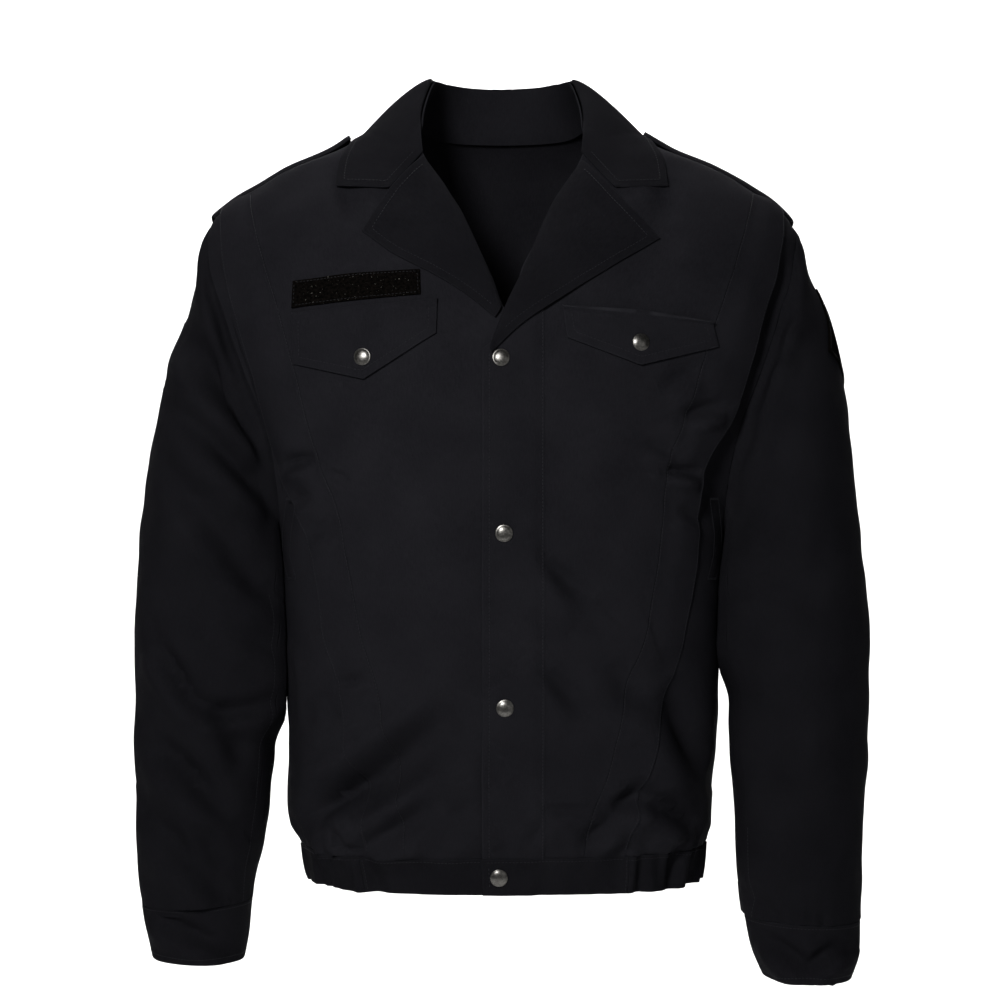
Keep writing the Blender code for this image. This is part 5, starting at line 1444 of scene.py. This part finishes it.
def make_strap(side):
    """A shoulder strap, sewn in at the armhole with its free end by the collar."""
    sign = 1 if side == "left" else -1
    x = spline(np.linspace(0, 1, 4), STRAP["x"], fine(64, 0.15))[None, :]
    reach_out = STRAP_ENDS[side]
    at_x = (x - x[0, 0]) / (x[0, -1] - x[0, 0])
    front = spline(STRAP["x"], STRAP["front_y"], x)
    back = spline(STRAP["x"], STRAP["back_y"], x)
    x = x + reach_out[0] * (1 - at_x) + reach_out[1] * at_x
    across = fine(20, 0.035)[:, None]
    y = front + (back - front) * across
    x = x + 0 * y
    points = np.stack([x, y, shoulder_height(x, y)], -1)
    ends_up = STRAP_LIFTS[side] * np.clip(1 - (x - x[0, 0]) / STRAP_END, 0, 1) ** 2
    crown = 0.0004 + 0.0062 * np.sin(pi * np.clip(across, 0, 1)) ** 0.8
    normals = away(points)[0]
    own = torso_relief(points * (sign, 1, 1), normals * (sign, 1, 1))
    points = (points + normals * (own + LAY_WALL + crown + ends_up)[..., None]) * (sign, 1, 1)
    part = cloth("strap_" + side, points, points - np.array([0, 0, 0.05]), LAY_WALL, shaded_lay_twill)
    for where in ("low", "high", "start"):
        sew(*contour(part, where, 0.0060))
    return part


def make_patch():
    """The hook-and-loop patch on the left upper sleeve, laid on the sleeve's own form."""
    wide, tall = np.meshgrid((fine(34, 0.065) - 0.5) * PATCH_WIDE, (fine(34, 0.067) - 0.5) * PATCH_TALL)
    c, s = np.cos(PATCH_LEAN), np.sin(PATCH_LEAN)
    ahead = PATCH_AHEAD + PATCH_TURN + wide * c - tall * s
    height = PATCH_HEIGHT + wide * s + tall * c
    at = np.full(wide.shape, 0.25)
    for _ in range(6):
        outer_x, outer_z, inner_x, inner_z, mid_y, deep = np.moveaxis(along(LEFT_SLEEVE, RING_NAMES, at), -1, 0)
        theta = np.arcsin(ahead / deep)
        level = height + (outer_z - inner_z) / 2 * (1 - np.cos(theta))
        at = np.interp(-level, -LEFT_SLEEVE["outer_z"], np.linspace(0, 1, len(LEFT_SLEEVE["outer_z"])))
    smoothed = {**LEFT_SLEEVE_FOLDS, "height": 0 * LEFT_SLEEVE_FOLDS["height"]}
    points = sleeve_surface(LEFT_SLEEVE, smoothed, 1, at, theta, 0.0001 + LAY_WALL)
    return cloth("sleeve_patch", points, points - (0.05, 0, 0), LAY_WALL, tape)


def make_snap(name, x, z, under):
    """A domed snap cap with a rolled rim, seated on the cloth under it."""
    base = seen(np.array([x]), np.array([z]), np.array([under + 0.0003]))[0]
    out = away(base[None])[0][0]
    side = np.cross(out, (0, 0, 1))
    side /= np.linalg.norm(side)
    up = np.cross(side, out)
    profile = [(0.80, 0.0), (0.93, 0.02), (0.985, 0.10), (1.0, 0.20), (0.985, 0.31), (0.945, 0.39),
               (0.90, 0.42), (0.865, 0.435), (0.82, 0.49), (0.74, 0.62), (0.62, 0.76), (0.48, 0.87),
               (0.32, 0.95), (0.16, 0.99)]
    count = 56
    vertices, faces = [base], []
    for radius, height in profile:
        for k in range(count):
            a = 2 * pi * k / count
            arm = side * np.cos(a) + up * np.sin(a)
            vertices.append(base + arm * radius * SNAP_RADIUS + out * height * SNAP_HEIGHT)
    vertices.append(base + out * SNAP_HEIGHT)
    for k in range(count):
        n = (k + 1) % count
        faces.append((0, 1 + n, 1 + k))
        for r in range(len(profile) - 1):
            a, b = 1 + r * count, 1 + (r + 1) * count
            faces.append((a + k, a + n, b + n, b + k))
        a = 1 + (len(profile) - 1) * count
        faces.append((a + k, a + n, len(vertices) - 1))
    mesh = bpy.data.meshes.new(name)
    mesh.from_pydata([tuple(v) for v in vertices], [], faces)
    mesh.shade_smooth()
    mesh.materials.append(metal)
    piece = bpy.data.objects.new(name, mesh)
    bpy.context.collection.objects.link(piece)
    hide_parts(name)
    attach(piece, "root")


make_front("right")
make_front("left")
make_side("right")
make_side("left")
make_back()
make_sleeve("right", RIGHT_SLEEVE, RIGHT_SLEEVE_CREASES, RIGHT_SLEEVE_BACK)
make_sleeve("left", LEFT_SLEEVE, LEFT_SLEEVE_CREASES, LEFT_SLEEVE_BACK)
make_cuff("right", RIGHT_CUFF, RIGHT_CUFF_CREASES)
make_cuff("left", LEFT_CUFF, LEFT_CUFF_CREASES)
make_band()
placket = make_placket()
sew(*contour(placket, "start", 0.0062))
sew(*contour(placket, "end", 0.0016))
make_lapel("lapel_right", RIGHT_LAPEL, RIGHT_NOTCH, lambda up: LAY_GAP + 0 * up)
over_placket = LAY_WALL + LAY_GAP + 0.0004
make_lapel("lapel_left", LEFT_LAPEL, LEFT_NOTCH,
           lambda up: LAY_GAP + over_placket * np.clip(2.2 - 3.4 * up, 0, 1))
make_collar()
make_stand()
make_strap("right")
make_strap("left")
make_lying("flap_right", RIGHT_FLAP, 74, 30, twill, LAY_GAP + LAY_WALL, 0.0012)
make_lying("flap_left", LEFT_FLAP, 74, 30, twill, LAY_GAP + LAY_WALL, 0.0012)
make_lying("name_tape", NAME_TAPE, 74, 16, tape, LAY_GAP + LAY_WALL, 0.0)
make_patch()
on_placket, on_band = LAY_GAP + LAY_WALL, WALL + LAY_GAP
for k, (x, z) in enumerate(zip(FRONT_SNAPS["x"], FRONT_SNAPS["z"])):
    make_snap(f"snap_front_{k + 1}", x, z, on_band if k == 3 else on_placket)
for side, x, z in zip(("right", "left"), FLAP_SNAPS["x"], FLAP_SNAPS["z"]):
    make_snap(f"snap_flap_{side}", x, z, on_placket + 0.0008)
for name in ("lapel_right", "lapel_left"):
    sew(*contour(made[name], "high", EDGE_SEAM))
    sew(*contour(made[name], "end", EDGE_SEAM), radius=FINE_STITCH)
for where in ("high", "start", "end"):
    sew(*contour(made["collar"], where, EDGE_SEAM), radius=FINE_STITCH)
for name in ("flap_right", "flap_left"):
    for where in ("low", "start", "end"):
        sew(*contour(made[name], where, EDGE_SEAM), radius=FINE_STITCH)
for where in ("low", "high", "start", "end"):
    sew(*contour(made["name_tape"], where, 0.0020), radius=FINE_STITCH)
    sew(*contour(made["sleeve_patch"], where, 0.0025), radius=FINE_STITCH)
build_threads("stitching", thread)

# Stage: a pale floor that curves up into a backdrop, lights and the camera
FLOOR = -1.42
profile = [(3.0, 0)] + [(-2.6 - 1.2 * np.sin(a), 1.2 - 1.2 * np.cos(a)) for a in np.linspace(0, pi / 2, 16)]
profile.append((-3.8, 4.5))
vertices = [(x, -y, FLOOR + z) for y, z in profile for x in (-6.0, 6.0)]
faces = [(2 * k, 2 * k + 1, 2 * k + 3, 2 * k + 2) for k in range(len(profile) - 1)]
mesh = bpy.data.meshes.new("backdrop")
mesh.from_pydata([tuple(map(float, v)) for v in vertices], [], faces)
mesh.shade_smooth()
backdrop = bpy.data.objects.new("backdrop", mesh)
bpy.context.collection.objects.link(backdrop)
paper = bpy.data.materials.new("paper")
paper.use_nodes = True
paper.node_tree.nodes["Principled BSDF"].inputs["Base Color"].default_value = (0.92, 0.92, 0.92, 1)
paper.node_tree.nodes["Principled BSDF"].inputs["Roughness"].default_value = 1.0
mesh.materials.append(paper)

world = bpy.data.worlds.new("studio")
world.use_nodes = True
world.node_tree.nodes["Background"].inputs["Color"].default_value = (1, 1, 1, 1)
world.node_tree.nodes["Background"].inputs["Strength"].default_value = 0.05
bpy.context.scene.world = world


def area_light(name, place, aim, size, power):
    lamp = bpy.data.lights.new(name, "AREA")
    lamp.shape, lamp.size, lamp.energy = "SQUARE", size, power
    holder = bpy.data.objects.new(name, lamp)
    holder.location = place
    holder.rotation_euler = (Vector(aim) - Vector(place)).to_track_quat("-Z", "Y").to_euler()
    bpy.context.collection.objects.link(holder)


area_light("key", (-0.55, -1.78, 0.35), (0, 0, -0.36), 0.36, 37.5)
area_light("fill", (1.3, -2.2, -0.2), (0, 0, -0.3), 1.0, 3)
area_light("wall", (0, 1.4, 2.8), (0, 3.8, -0.4), 2.6, 280)
bpy.context.scene.view_settings.view_transform = "Standard"

lens = bpy.data.cameras.new("camera")
lens.lens, lens.sensor_width = 90, 36
camera = bpy.data.objects.new("camera", lens)
camera.location = (-0.0018, -2.25, -0.315)
camera.rotation_euler = (pi / 2, 0, 0)
bpy.context.collection.objects.link(camera)
bpy.context.scene.camera = camera
